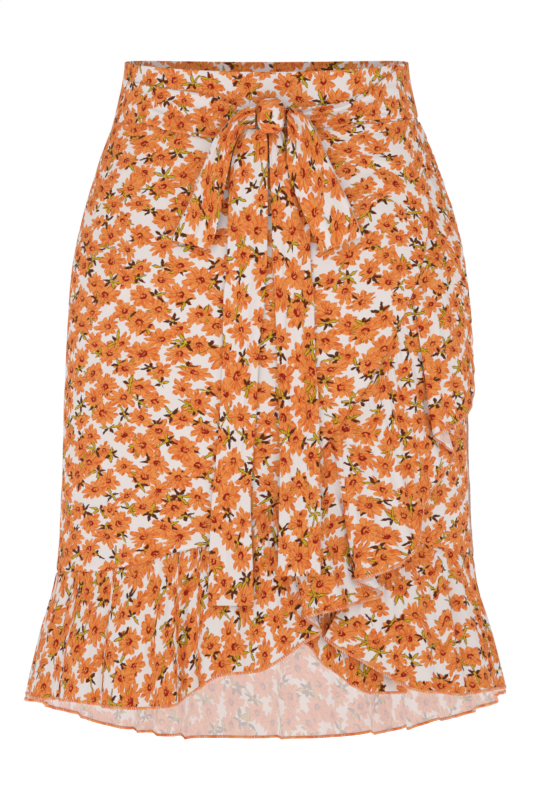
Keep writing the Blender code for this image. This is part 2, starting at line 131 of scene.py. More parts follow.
# A line across a ruffle, from where it leaves the seam to the free edge. Where the edge angle
# turns back the cloth lies in three layers.
Fold = namedtuple("Fold", "seam_angle edge_angle edge_depth edge_out")
OVER_RUFFLE = [
    Fold(-89.94, -89.94, 0.6045, 0.0040),
    Fold(-84, -82, 0.6055, 0.0020),
    Fold(-76, -73, 0.6070, 0.0070),
    Fold(-68, -64, 0.6075, 0.0010),
    Fold(-57, -54, 0.6075, 0.0060),
    Fold(-48, -45, 0.6110, 0.0020),
    Fold(-41, -38, 0.6130, 0.0070),
    Fold(-33, -31, 0.6136, 0.0030),
    Fold(-26, -22, 0.6095, 0.0090),
    Fold(-21, -18.5, 0.6010, 0.0040),
    Fold(-14, -10.7, 0.5817, 0.0090),
    Fold(-7.5, -2, 0.5780, 0.0060),
    Fold(-2, 5.9, 0.5600, 0.0080),
    Fold(0.5, 9.0, 0.5520, 0.0050),  # lowest fold: lower layer
    Fold(2.5, 13.6, 0.5425, 0.0035),
    Fold(3.6, 13.8, 0.5400, 0.0065),
    Fold(4.8, 9.9, 0.5297, 0.0090),
    Fold(6, 9.7, 0.5277, 0.0125),  # upper layer
    Fold(10, 19, 0.5195, 0.0140),
    Fold(13.5, 24.0, 0.5150, 0.0055),  # middle fold: lower layer
    Fold(16.5, 31.8, 0.5085, 0.0035),
    Fold(17.7, 32.1, 0.5060, 0.0065),
    Fold(19.2, 24.1, 0.4955, 0.0090),
    Fold(20.5, 23.8, 0.4935, 0.0125),  # upper layer
    Fold(24, 33.9, 0.4830, 0.0155),
    Fold(30, 43.5, 0.4620, 0.0140),
    Fold(35, 47.5, 0.4273, 0.0090),
    Fold(38, 52.5, 0.4100, 0.0050),  # highest fold: lower layer
    Fold(41.5, 58.5, 0.3964, 0.0035),
    Fold(44.5, 64.5, 0.3797, 0.0030),
    Fold(45.7, 64.8, 0.3772, 0.0060),
    Fold(47.5, 52.5, 0.3597, 0.0090),
    Fold(49, 52.2, 0.3577, 0.0125),  # upper layer
    Fold(55, 66.4, 0.3406, 0.0155),
    Fold(60, 77.6, 0.3168, 0.0120),
    Fold(64, 88, 0.2700, 0.0080),
    Fold(69, 99, 0.1900, 0.0075),
    Fold(72, 101, 0.1200, 0.0060),
    Fold(75.5, 96, 0.0570, 0.0040),
]
UNDER_RUFFLE = [
    Fold(-71.5, -79, 0.1200, -0.0010),  # hidden, and flat, as far as the visible corner
    Fold(-60, -74, 0.2500, -0.0010),
    Fold(-51, -64, 0.3250, -0.0010),
    Fold(-42, -53, 0.3800, -0.0010),
    Fold(-33, -42, 0.4250, -0.0010),
    Fold(-23, -31, 0.4650, -0.0015),
    Fold(-14, -20, 0.4940, -0.0020),
    Fold(-6, -10, 0.5150, -0.0025),
    Fold(2, 0, 0.5350, -0.0030),
    Fold(11.5, 11.1, 0.5557, -0.0050),
    Fold(13.5, 14, 0.5706, -0.0060),
    Fold(15.5, 17.9, 0.5805, -0.0085),
    Fold(17.5, 21.8, 0.5923, -0.0075),
    Fold(20, 27.7, 0.5996, -0.0095),
    Fold(22.5, 36.6, 0.5995, -0.0090),  # wide fold: lower layer
    Fold(23.7, 37.0, 0.5960, -0.0060),
    Fold(26.5, 14.9, 0.5490, -0.0030),
    Fold(28, 14.6, 0.5465, 0.0005),  # upper layer
    Fold(29.5, 18.4, 0.5577, 0.0020),
    Fold(32.5, 22.8, 0.5663, 0.0020),
    Fold(36, 29.1, 0.5801, 0.0030),
    Fold(40.5, 37.5, 0.5960, 0.0030),
    Fold(44, 42.5, 0.5990, 0.0050),
    Fold(49, 47, 0.5995, -0.0010),
    Fold(56, 53.9, 0.6030, 0.0070),
    Fold(60, 57.5, 0.6020, 0.0010),
    Fold(68, 65, 0.5995, 0.0070),
    Fold(76, 76, 0.5990, 0.0010),
    Fold(83, 83, 0.5985, 0.0040),
    Fold(89.94, 89.94, 0.5985, 0.0050),
]
BACK_RUFFLE = [
    Fold(90.06, 90.06, 0.6030, 0.004),
    Fold(98, 99, 0.6080, -0.003),
    Fold(106, 107, 0.6150, 0.006),
    Fold(113, 115, 0.6215, -0.002),
    Fold(120, 122, 0.6265, 0.008),
    Fold(127, 126, 0.6310, 0.000),
    Fold(134, 136, 0.6370, 0.007),
    Fold(141, 140, 0.6420, -0.003),
    Fold(150, 151, 0.6490, 0.006),
    Fold(160, 161, 0.6535, -0.001),
    Fold(171, 171, 0.6560, 0.005),
    Fold(182, 182, 0.6560, -0.002),
    Fold(193, 193, 0.6555, 0.006),
    Fold(203, 204, 0.6535, -0.003),
    Fold(211, 209, 0.6500, 0.007),
    Fold(218, 219, 0.6440, -0.001),
    Fold(226, 226, 0.6365, 0.007),
    Fold(235, 236, 0.6280, -0.002),
    Fold(244, 245, 0.6205, 0.006),
    Fold(253, 253, 0.6155, -0.002),
    Fold(261, 262, 0.6120, 0.006),
    Fold(269.94, 269.94, 0.6095, 0.003),
]
RUFFLE_FULLNESS = 1.15  # how much longer the gathered edge was cut than it is sewn
RUFFLE_SPREAD = 0.6  # under 1, a fold stands out soon below the seam
RUFFLE_LEAN = 1.3  # over 1, a fold leans sideways mostly near its free edge

Stretch = namedtuple("Stretch", "angle upper lower out")
SASH_LEFT = [
    Stretch(-72, 0.0195, 0.0590, 0.0042),
    Stretch(-54, 0.0243, 0.0612, 0.0044),
    Stretch(-40, 0.0294, 0.0680, 0.0046),
    Stretch(-26, 0.0342, 0.0745, 0.0050),
    Stretch(-17, 0.0406, 0.0770, 0.0054),
    Stretch(-10, 0.0470, 0.0740, 0.0060),
    Stretch(-3.9, 0.0500, 0.0690, 0.0066),
]
SASH_RIGHT = [
    Stretch(63, 0.0105, 0.0555, 0.0042),
    Stretch(53, 0.0191, 0.0572, 0.0044),
    Stretch(45, 0.0281, 0.0580, 0.0046),
    Stretch(35, 0.0381, 0.0607, 0.0050),
    Stretch(26, 0.0438, 0.0660, 0.0054),
    Stretch(14, 0.0469, 0.0672, 0.0060),
    Stretch(7.2, 0.0482, 0.0668, 0.0066),
]

Line = namedtuple("Line", "left left_depth right right_depth out")
LOOP_LEFT = [
    Line(-0.0110, 0.0470, -0.0110, 0.0675, 0.0180),
    Line(-0.0212, 0.0490, -0.0193, 0.0685, 0.0185),
    Line(-0.0315, 0.0560, -0.0268, 0.0745, 0.0180),
    Line(-0.0419, 0.0680, -0.0315, 0.0850, 0.0170),
    Line(-0.0513, 0.0796, -0.0353, 0.1005, 0.0160),
    Line(-0.0579, 0.0966, -0.0390, 0.1166, 0.0150),
    Line(-0.0645, 0.1145, -0.0428, 0.1373, 0.0140),
    Line(-0.0720, 0.1343, -0.0465, 0.1562, 0.0130),
    Line(-0.0833, 0.1570, -0.0503, 0.1712, 0.0120),
    Line(-0.0905, 0.1715, -0.0540, 0.1805, 0.0110),
]
LOOP_RIGHT = [
    Line(0.0203, 0.0700, 0.0203, 0.0470, 0.0180),
    Line(0.0208, 0.0770, 0.0297, 0.0510, 0.0185),
    Line(0.0200, 0.0850, 0.0400, 0.0580, 0.0180),
    Line(0.0195, 0.0978, 0.0485, 0.0721, 0.0170),
    Line(0.0230, 0.1166, 0.0579, 0.0928, 0.0160),
    Line(0.0305, 0.1355, 0.0673, 0.1135, 0.0150),
    Line(0.0381, 0.1543, 0.0777, 0.1352, 0.0140),
    Line(0.0456, 0.1712, 0.0861, 0.1550, 0.0125),
    Line(0.0520, 0.1835, 0.0905, 0.1680, 0.0110),
]
LOOP_GAP = 0.0038  # between a loop's front and back layer
LOOP_NOSE = 0.0016  # how far the turn at its end stands past them
TAIL_LEFT = [
    Line(-0.0225, 0.0680, -0.0005, 0.0690, 0.0100),
    Line(-0.0300, 0.0850, 0.0010, 0.0850, 0.0096),
    Line(-0.0340, 0.1023, 0.0010, 0.1023, 0.0090),
    Line(-0.0362, 0.1353, 0.0012, 0.1353, 0.0075),
    Line(-0.0376, 0.1919, 0.0005, 0.1919, 0.0056),
    Line(-0.0409, 0.2295, -0.0019, 0.2295, 0.0052),
    Line(-0.0418, 0.2831, -0.0070, 0.2831, 0.0050),
    Line(-0.0446, 0.3376, -0.0099, 0.3376, 0.0050),
    Line(-0.0474, 0.3732, -0.0122, 0.3732, 0.0056),
    Line(-0.0521, 0.4183, -0.0150, 0.4183, 0.0068),
    Line(-0.0544, 0.4633, -0.0136, 0.4633, 0.0086),
    Line(-0.0554, 0.5063, -0.0119, 0.5063, 0.0104),
    Line(-0.0553, 0.5160, -0.0136, 0.5160, 0.0108),
]
TAIL_RIGHT = [
    Line(0.0024, 0.0690, 0.0150, 0.0690, 0.0100),
    Line(0.0027, 0.0882, 0.0221, 0.0882, 0.0096),
    Line(0.0036, 0.1165, 0.0315, 0.1165, 0.0085),
    Line(0.0052, 0.1637, 0.0418, 0.1637, 0.0064),
    Line(0.0056, 0.1919, 0.0418, 0.1919, 0.0056),
    Line(0.0080, 0.2295, 0.0451, 0.2295, 0.0052),
    Line(0.0099, 0.2746, 0.0460, 0.2746, 0.0052),
    Line(0.0117, 0.3282, 0.0496, 0.3282, 0.0062),
    Line(0.0127, 0.3910, 0.0514, 0.3910, 0.0110),
    Line(0.0117, 0.4454, 0.0521, 0.4454, 0.0165),
    Line(0.0108, 0.4885, 0.0521, 0.4885, 0.0195),
]
KNOT_CENTRE = (0.0045, 0.0560)  # across, and below the waist
KNOT_HALF_WIDTH = 0.0137
KNOT_HALF_HEIGHT = 0.0166
KNOT_OUT = 0.0135
KNOT_HALF_DEPTH = 0.0098

# --- Creases --------------------------------------------------------------------------------

LEDGE_EDGE = 0.0007  # half the width of the step at a folded edge
LEDGE_EASE = 2.5
FOLDED_PER_LEDGE = 3.0
FOLDED_PER_RISE = 1.6  # cloth folded away each side of a trough, for its depth
METRES_PER_DEGREE = 0.0029  # round the form, to compare angles with depths
# A soft ridge (rise over 0) or trough (rise under 0) from one place on the form to another
Crease = namedtuple("Crease", "angle depth to_angle to_depth width rise ledge", defaults=(0.0,))
OVER_PANEL_CREASES = [
    Crease(20, 0.077, 50, 0.069, 0.0034, -0.0014),
    Crease(21, 0.094, 48, 0.089, 0.0036, -0.0012),
    Crease(23, 0.113, 54, 0.104, 0.0040, -0.0012),
    Crease(25, 0.131, 50, 0.127, 0.0044, -0.0010),
    Crease(8, 0.082, 58, 0.104, 0.0040, 0.0010),
    Crease(12, 0.090, 61, 0.116, 0.0035, -0.0010),
    Crease(10, 0.100, 60, 0.128, 0.0045, 0.0009),
    Crease(16, 0.112, 56, 0.141, 0.0040, -0.0008),
    Crease(18, 0.128, 52, 0.158, 0.0060, 0.0007),
    Crease(-24, 0.086, -66, 0.096, 0.0045, -0.0007),
    Crease(-26, 0.098, -70, 0.112, 0.0060, 0.0007),
    Crease(-30, 0.116, -64, 0.138, 0.0070, -0.0006),
    Crease(-14, 0.180, -70, 0.236, 0.0140, 0.0008),
    Crease(-20, 0.260, -76, 0.300, 0.0160, -0.0009),
    Crease(-18, 0.330, -62, 0.392, 0.0150, 0.0008),
    Crease(-34, 0.400, -80, 0.430, 0.0140, -0.0007),
    Crease(16, 0.200, 36, 0.262, 0.0100, 0.0008),
    Crease(12, 0.290, 20, 0.340, 0.0080, -0.0008),
]
UNDER_PANEL_CREASES = [
    Crease(50, 0.300, 84, 0.330, 0.0140, 0.0009),
    Crease(48, 0.380, 86, 0.410, 0.0120, -0.0008),
    Crease(60, 0.420, 88, 0.442, 0.0080, 0.0007),
]
BACK_PANEL_CREASES = [
    Crease(120, 0.082, 168, 0.104, 0.0080, 0.0008),
    Crease(196, 0.100, 246, 0.084, 0.0080, 0.0008),
    Crease(132, 0.150, 176, 0.182, 0.0130, -0.0010),
    Crease(188, 0.190, 240, 0.152, 0.0140, -0.0009),
    Crease(112, 0.330, 160, 0.372, 0.0160, 0.0009),
    Crease(196, 0.390, 250, 0.350, 0.0150, 0.0010),
    Crease(150, 0.430, 214, 0.446, 0.0150, -0.0008),
]
OVER_RUFFLE_CREASES = [
    Crease(53.2, 0.245, 51.0, 0.352, 0.0028, -0.0018),
    Crease(55.4, 0.245, 53.6, 0.345, 0.0034, 0.0012),
    Crease(42.3, 0.262, 40.6, 0.346, 0.0030, -0.0020, 0.0010),
    Crease(40.4, 0.346, 42.9, 0.452, 0.0030, -0.0020, 0.0010),
    Crease(44.6, 0.290, 44.0, 0.430, 0.0040, 0.0013),
    Crease(28.4, 0.322, 27.2, 0.392, 0.0028, -0.0018),
    Crease(27.2, 0.380, 24.4, 0.490, 0.0032, -0.0022, 0.0014),
    Crease(30.0, 0.330, 27.6, 0.480, 0.0042, 0.0014),
    Crease(12.0, 0.420, 9.8, 0.522, 0.0034, -0.0016),
    Crease(66.0, 0.190, 62.0, 0.320, 0.0040, -0.0016),
    Crease(72.0, 0.150, 71.0, 0.290, 0.0045, 0.0013),
    Crease(80.0, 0.110, 78.0, 0.280, 0.0040, -0.0014),
    Crease(-47.0, 0.498, -42.2, 0.640, 0.0034, -0.0034, 0.0013),
    Crease(-51.5, 0.500, -49.0, 0.640, 0.0055, 0.0024),
    Crease(-22.6, 0.490, -20.5, 0.640, 0.0032, -0.0046, -0.0020),
    Crease(-25.8, 0.500, -24.4, 0.640, 0.0050, 0.0030),
    Crease(-17.1, 0.510, -16.2, 0.620, 0.0030, -0.0026, 0.0014),
    Crease(-29.6, 0.552, -26.0, 0.640, 0.0036, -0.0022),
    Crease(-36.0, 0.500, -35.0, 0.640, 0.0060, 0.0024),
    Crease(-62.0, 0.500, -59.6, 0.640, 0.0046, -0.0028, 0.0013),
    Crease(-68.0, 0.498, -66.0, 0.560, 0.0030, -0.0016),
    Crease(-72.0, 0.498, -70.0, 0.640, 0.0050, 0.0022),
    Crease(-80.0, 0.500, -79.0, 0.640, 0.0045, -0.0022),
    Crease(-8.0, 0.470, -5.0, 0.570, 0.0045, -0.0016),
    Crease(2.0, 0.440, 3.4, 0.552, 0.0050, 0.0014),
]
UNDER_RUFFLE_CREASES = [
    Crease(34.2, 0.478, 30.6, 0.570, 0.0032, -0.0016),
    Crease(37.7, 0.520, 34.9, 0.588, 0.0034, -0.0014),
    Crease(62.3, 0.470, 59.3, 0.520, 0.0034, -0.0026, -0.0013),
    Crease(59.3, 0.515, 51.2, 0.602, 0.0036, -0.0028, -0.0016),
    Crease(54.0, 0.510, 52.0, 0.598, 0.0040, -0.0016),
    Crease(66.0, 0.480, 63.0, 0.598, 0.0050, 0.0018),
    Crease(47.0, 0.486, 44.0, 0.596, 0.0050, 0.0016),
    Crease(74.0, 0.480, 73.0, 0.596, 0.0042, -0.0016),
]
BACK_RUFFLE_CREASES = [
    Crease(104, 0.500, 103, 0.690, 0.0045, -0.0024),
    Crease(117, 0.510, 118, 0.690, 0.0050, -0.0026),
    Crease(133, 0.530, 133, 0.690, 0.0028, -0.0034, 0.0014),
    Crease(143, 0.530, 143.3, 0.690, 0.0026, -0.0036, 0.0020),
    Crease(147, 0.530, 147.8, 0.690, 0.0022, -0.0030),
    Crease(151, 0.540, 150.8, 0.690, 0.0022, 0.0026),
    Crease(154, 0.540, 153.4, 0.690, 0.0024, -0.0034, 0.0018),
    Crease(165, 0.540, 165, 0.690, 0.0060, 0.0024),
    Crease(177, 0.540, 176.8, 0.690, 0.0028, -0.0030, 0.0012),
    Crease(189, 0.545, 190, 0.690, 0.0060, 0.0022),
    Crease(200, 0.540, 201.1, 0.690, 0.0026, -0.0040, 0.0022),
    Crease(204, 0.540, 204.6, 0.690, 0.0030, 0.0026),
    Crease(207, 0.540, 208.0, 0.690, 0.0024, -0.0034, 0.0016),
    Crease(213, 0.530, 213.4, 0.690, 0.0028, -0.0036, 0.0020),
    Crease(224, 0.530, 225, 0.690, 0.0050, 0.0024),
    Crease(234, 0.530, 233, 0.690, 0.0040, -0.0028, 0.0014),
    Crease(248, 0.510, 249, 0.690, 0.0045, -0.0024),
    Crease(257, 0.500, 257, 0.690, 0.0045, -0.0022),
]

# Each layer of the skirt is a panel with a ruffle sewn to its lower edge. hem_steps is how far the
# hem drops at folded edges, for how far they stand out
Layer = namedtuple(
    "Layer",
    "side band middle folds seam out panel_columns panel_rows panel_creases panel_seed panel_print"
    " ruffle_steps ruffle_rows ruffle_creases ruffle_seed ruffle_print hem_steps",
)
LAYERS = [
    Layer(
        side="back", band="waistband_back", middle=180,
        folds=BACK_RUFFLE, seam=BACK_SEAM, out=BACK_OUT,
        panel_columns=210, panel_rows=120, panel_creases=BACK_PANEL_CREASES,
        panel_seed=11, panel_print=(0.13, 0.57),
        ruffle_steps=24, ruffle_rows=44, ruffle_creases=BACK_RUFFLE_CREASES,
        ruffle_seed=41, ruffle_print=(0.66, 0.12), hem_steps=-1.2,
    ),
    Layer(
        side="under", band="waistband_front", middle=0,
        folds=UNDER_RUFFLE, seam=UNDER_SEAM, out=UNDER_OUT,
        panel_columns=170, panel_rows=96, panel_creases=UNDER_PANEL_CREASES,
        panel_seed=21, panel_print=(0.52, 0.91),
        ruffle_steps=16, ruffle_rows=44, ruffle_creases=UNDER_RUFFLE_CREASES,
        ruffle_seed=51, ruffle_print=(0.18, 0.83), hem_steps=0.8,
    ),
    Layer(
        side="over", band="waistband_front", middle=0,
        folds=OVER_RUFFLE, seam=OVER_SEAM, out=OVER_OUT,
        panel_columns=210, panel_rows=140, panel_creases=OVER_PANEL_CREASES,
        panel_seed=31, panel_print=(0.04, 0.23),
        ruffle_steps=16, ruffle_rows=46, ruffle_creases=OVER_RUFFLE_CREASES,
        ruffle_seed=61, ruffle_print=(0.93, 0.36), hem_steps=0.8,
    ),
]

# --- Working out the form -------------------------------------------------------------------


def smooth_column(keys, values, at):
    """A smooth curve through (keys, values), read at many places, that never overshoots."""
    keys, values, at = (np.asarray(x, float) for x in (keys, values, at))
    rates = np.diff(values) / np.diff(keys)
    before, after = rates[:-1], rates[1:]
    total = np.where(before + after == 0, 1.0, before + after)
    meets = np.where(before * after > 0, 2 * before * after / total, 0.0)
    slopes = np.concatenate(([rates[0]], meets, [rates[-1]]))
    i = np.clip(np.searchsorted(keys, at, side="right") - 1, 0, len(keys) - 2)
    width = keys[i + 1] - keys[i]
    t = (at - keys[i]) / width
    return (
        values[i] * (1 + 2 * t) * (1 - t) ** 2
        + slopes[i] * width * t * (1 - t) ** 2
        + values[i + 1] * t * t * (3 - 2 * t)
        - slopes[i + 1] * width * t * t * (1 - t)
    )


def look_up(rows, key):
    """A table's row at each key, where its first column is the key."""
    keys = [row[0] for row in rows]
    columns = [smooth_column(keys, [row[c] for row in rows], key) for c in range(1, len(rows[0]))]
    return type(rows[0])(np.asarray(key, float), *columns)


def follow(rows, at):
    """A table's row at each place along it, counted in rows from 0."""
    keys = range(len(rows))
    columns = [smooth_column(keys, [row[c] for row in rows], at) for c in range(len(rows[0]))]
    return type(rows[0])(*columns)


def on_form(angle, depth, out):
    """Points out metres off the form, as an array of one more dimension."""
    angle, depth, out = np.broadcast_arrays(angle, depth, out)
    section = look_up(FORM, depth)
    turn = np.radians(angle)
    half_depth = np.where(np.cos(turn) > 0, section.front, section.back)
    nx, ny = np.sin(turn) / section.half_width, -np.cos(turn) / half_depth
    length = np.hypot(nx, ny)
    x = section.half_width * np.sin(turn) + nx / length * out
    y = -half_depth * np.cos(turn) + ny / length * out
    return np.stack([x, y, -depth], axis=-1)


def angle_of(across, depth, out):
    """The angle of places on the front that are given by their distance across."""
    half_width = look_up(FORM, depth).half_width + out
    return np.degrees(np.arcsin(across / half_width))


def waist_top(angle):
    """The depth of the waistband's upper edge."""
    front = np.cos(np.radians(angle))
    return WAIST_DIP * front + WAIST_DIP_FRONT * front * front


def waist_seam(angle):
    """The depth of the seam under the waistband."""
    return waist_top(angle) + BAND_HEIGHT


def bell(distance, width):
    """1 at no distance, falling softly to 0 past the width."""
    return np.exp(-((distance / width) ** 2))


def beside(crease, angle, depth):
    """How far places are aside from a crease, its share of strength there, and its direction."""
    run_across = (crease.to_angle - crease.angle) * METRES_PER_DEGREE
    run_down = crease.to_depth - crease.depth
    length = math.hypot(run_across, run_down)
    across = (angle - crease.angle) * METRES_PER_DEGREE
    down = depth - crease.depth
    along = (across * run_across + down * run_down) / length
    aside = (across * run_down - down * run_across) / length
    share = np.clip(along / length, 0, 1)
    strength = bell(along - share * length, crease.width * 2)
    strength = strength * (0.35 + 0.65 * np.sin(np.pi * share) ** 0.6)
    return aside, strength, (run_down / length, run_across / length)


def pressed(angle, depth, creases):
    """How far the listed creases move each place out."""
    rise = np.zeros(np.broadcast(angle, depth).shape)
    for crease in creases:
        aside, strength, _ = beside(crease, angle, depth)
        rise += crease.rise * bell(aside, crease.width) * strength
    return rise + stepped(angle, depth, creases)


def stepped(angle, depth, creases):
    """The ledges of those creases that are folded edges: a sharp step, eased off each side."""
    rise = np.zeros(np.broadcast(angle, depth).shape)
    for crease in creases:
        if crease.ledge:
            aside, strength, _ = beside(crease, angle, depth)
            eased = np.exp(-np.abs(aside) / (crease.width * LEDGE_EASE))
            rise += crease.ledge * np.tanh(aside / LEDGE_EDGE) * eased * strength
    return rise


def taken_up(angle, depth, creases):
    """How much further along the cut places are, because troughs fold some of the cloth away."""
    extra = np.zeros(np.broadcast(angle, depth).shape + (2,))
    for crease in creases:
        aside, strength, square = beside(crease, angle, depth)
        soft = max(-crease.rise, 0) * FOLDED_PER_RISE * np.tanh(aside / crease.width * 2)
        sharp = abs(crease.ledge) * FOLDED_PER_LEDGE * np.tanh(aside / LEDGE_EDGE)
        extra += ((soft + sharp) * strength)[..., None] * np.array(square)
    return extra


def waves(place, spacing, seed, count=7):
    """An uneven wave from -1 to 1 along a length, with crests about one spacing apart."""
    dice = np.random.default_rng(seed)
    total = np.zeros(np.shape(place))
    for pace, phase in zip(dice.uniform(0.62, 1.45, count), dice.uniform(0, 2 * np.pi, count)):
        total += np.sin(2 * np.pi * place * pace / spacing + phase)
    return np.tanh(total * 0.6)


def gathers(place, down, spacing, rise, reach, seed):
    """Fine gathers that start just under a seam and join into fewer, softer ones further down.

    place is along the cut edge and down is below the seam, both in metres.
    """
    fine = waves(place, spacing, seed) * np.exp(-down / reach)
    broad = waves(place, spacing * 2.3, seed + 1) * (1 - np.exp(-down / reach))
    held = 0.25 + 0.75 * (1 - np.exp(-down / 0.006))
    return rise * held * (fine + 0.8 * broad)


def lengths_along(points, axis):
    """The running length along the rows (axis 1) or columns (axis 0) of a grid of points."""
    steps = np.linalg.norm(np.diff(points, axis=axis), axis=-1)
    start = np.zeros_like(np.take(steps, [0], axis=axis))
    return np.concatenate([start, np.cumsum(steps, axis=axis)], axis=axis)


def cut_map(points, middle=0):
    """Each point's place on the flat cut, in metres across from the middle column and down."""
    across = lengths_along(points, 1)
    across = across - across[:, middle : middle + 1]
    return np.stack([across, -lengths_along(points, 0)], axis=-1)


def hanging_map(points, middle):
    """Each point's place on the cut of a panel that hangs straight: level across, and down."""
    level = np.linalg.norm(np.diff(points[..., :2], axis=1), axis=-1)
    across = np.concatenate([np.zeros((len(points), 1)), np.cumsum(level, axis=1)], axis=1)
    across = across - across[:, middle : middle + 1]
    return np.stack([across, points[:1, :, 2] - lengths_along(points, 0)], axis=-1)


def unit(vectors):
    return vectors / np.linalg.norm(vectors, axis=-1, keepdims=True)


def flounce_map(points, tucked):
    """Each point's place on the cut of a ruffle, which is a gathered and partly curved strip.

    The strip is laid flat column by column. It bends where its free edge is longer than its
    gathered seam can be.
    """
    middle = len(points) // 2
    down = lengths_along(points, 0)
    width = down[-1] - down[tucked]

    def steps(row, toward):
        """How far each step along a row goes square to the columns, and along them."""
        step = np.diff(points[row], axis=0)
        column = unit((toward[1:] + toward[:-1]) / 2)
        along = (step * column).sum(-1)
        return np.sqrt(np.maximum((step**2).sum(-1) - along**2, 0)), along

    edge_across, edge_along = steps(-1, unit(points[-1] - points[middle]))
    seam_across, _ = steps(tucked, unit(points[middle] - points[tucked]))
    spare = np.maximum(edge_across - RUFFLE_FULLNESS * seam_across, 0)
    turn = np.concatenate([[0], np.cumsum(spare / ((width[1:] + width[:-1]) / 2))])
    heading = (turn[1:] + turn[:-1]) / 2
    across = np.stack([np.cos(heading), np.sin(heading)], axis=-1)
    along = np.stack([np.sin(heading), -np.cos(heading)], axis=-1)
    steps_flat = across * edge_across[:, None] + along * edge_along[:, None]
    edge = np.concatenate([[[0, 0]], np.cumsum(steps_flat, axis=0)])
    up = (down[-1:] - down)[..., None]
    return edge + up * np.stack([-np.sin(turn), np.cos(turn)], axis=-1)


# --- Cloth pieces ---------------------------------------------------------------------------

CLOTH = 0.00045  # one layer, with its seam allowance's softness
BAND_CLOTH = 0.0006
HEM_WIDTH = 0.0023
HEM_THICKNESS = 0.0008
HEM_DROP = 0.0006  # how far the bead hangs below the cloth
# Round the hem bead: how far up it, as a share of its width, and how far out, as a share of the
# way to its front (over 0) or its back (under 0)
HEM_SHAPE = [
    (-0.087, 0.8),
    (0.35, 1.1),
    (0.8, 0.9),
    (1.0, 0.25),
    (1.0, -0.8),
    (0.8, -1.1),
    (0.35, -1.2),
    (-0.087, -1.0),
]


def grid_mesh(name, points, cut):
    """A mesh through rows of points, with each point's place on the cut as its UV map."""
    rows, columns = points.shape[:2]
    r, c = np.meshgrid(np.arange(rows - 1), np.arange(columns - 1), indexing="ij")
    corner = (r * columns + c).ravel()
    faces = np.stack([corner, corner + columns, corner + columns + 1, corner + 1], axis=1)
    mesh = bpy.data.meshes.new(name)
    mesh.from_pydata(points.reshape(-1, 3).tolist(), [], faces.tolist())
    layer = mesh.uv_layers.new(name="Cut")
    layer.data.foreach_set("uv", cut.reshape(-1, 2)[faces.ravel()].astype(np.float32).ravel())
    mesh.shade_smooth()
    return mesh


def lay(name, points, cut, right_side, wrong_side, thickness=CLOTH):
    """One sheet of cloth: a grid of points on its outer face, with a thin wall behind it."""
    mesh = grid_mesh(name, points, cut)
    mesh.materials.append(right_side)
    mesh.materials.append(wrong_side)
    sheet = bpy.data.objects.new(f"{name}_cloth", mesh)
    bpy.context.scene.collection.objects.link(sheet)
    wall = sheet.modifiers.new("Thickness", "SOLIDIFY")
    wall.thickness = thickness
    wall.offset = -1.0
    wall.material_offset = 1
    wall.material_offset_rim = 0
    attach(sheet, "root")
    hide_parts(name)
    return sheet


def hem_bead(name, points, material):
    """The overlocked hem: a narrow flat tube of thread round a sheet's lowest row."""
    edge, above = points[-1], points[-3]
    up = unit(above - edge)
    along = np.gradient(edge, axis=0)
    out = unit(np.cross(along, up))
    front, back = HEM_THICKNESS / 2, -HEM_THICKNESS / 2 - CLOTH
    profile = [(-HEM_DROP, (front + back) / 2)]
    profile += [(HEM_WIDTH * u, o * front if o > 0 else -o * back) for u, o in HEM_SHAPE]
    ring = np.stack([edge + up * u + out * o for u, o in profile + profile[:1]], axis=0)
    run = np.concatenate([[0], np.cumsum(np.linalg.norm(np.diff(edge, axis=0), axis=-1))])
    girth = np.linspace(0, 2 * HEM_WIDTH, len(ring))
    cut = np.stack(np.broadcast_arrays(run[None, :], girth[:, None]), axis=-1)
    sides = len(profile)
    columns = edge.shape[0]
    points_flat = ring[:-1].reshape(-1, 3)
    faces, uvs = [], []
    for k in range(sides):
        near, far = k * columns, ((k + 1) % sides) * columns
        for i in range(columns - 1):
            faces.append((near + i, near + i + 1, far + i + 1, far + i))
            uvs += [cut[k, i], cut[k, i + 1], cut[k + 1, i + 1], cut[k + 1, i]]
    for i, flip in ((0, 1), (columns - 1, -1)):
        faces.append(tuple(k * columns + i for k in range(sides))[::flip])
        uvs += [cut[k, i] for k in range(sides)][::flip]
    mesh = bpy.data.meshes.new(name)
    mesh.from_pydata(points_flat.tolist(), [], faces)
    layer = mesh.uv_layers.new(name="Cut")
    layer.data.foreach_set("uv", np.array(uvs, np.float32).ravel())
    mesh.shade_smooth()
    mesh.materials.append(material)
    bead = bpy.data.objects.new(name, mesh)
    bpy.context.scene.collection.objects.link(bead)
    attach(bead, "root")
    return bead


# --- Materials ------------------------------------------------------------------------------


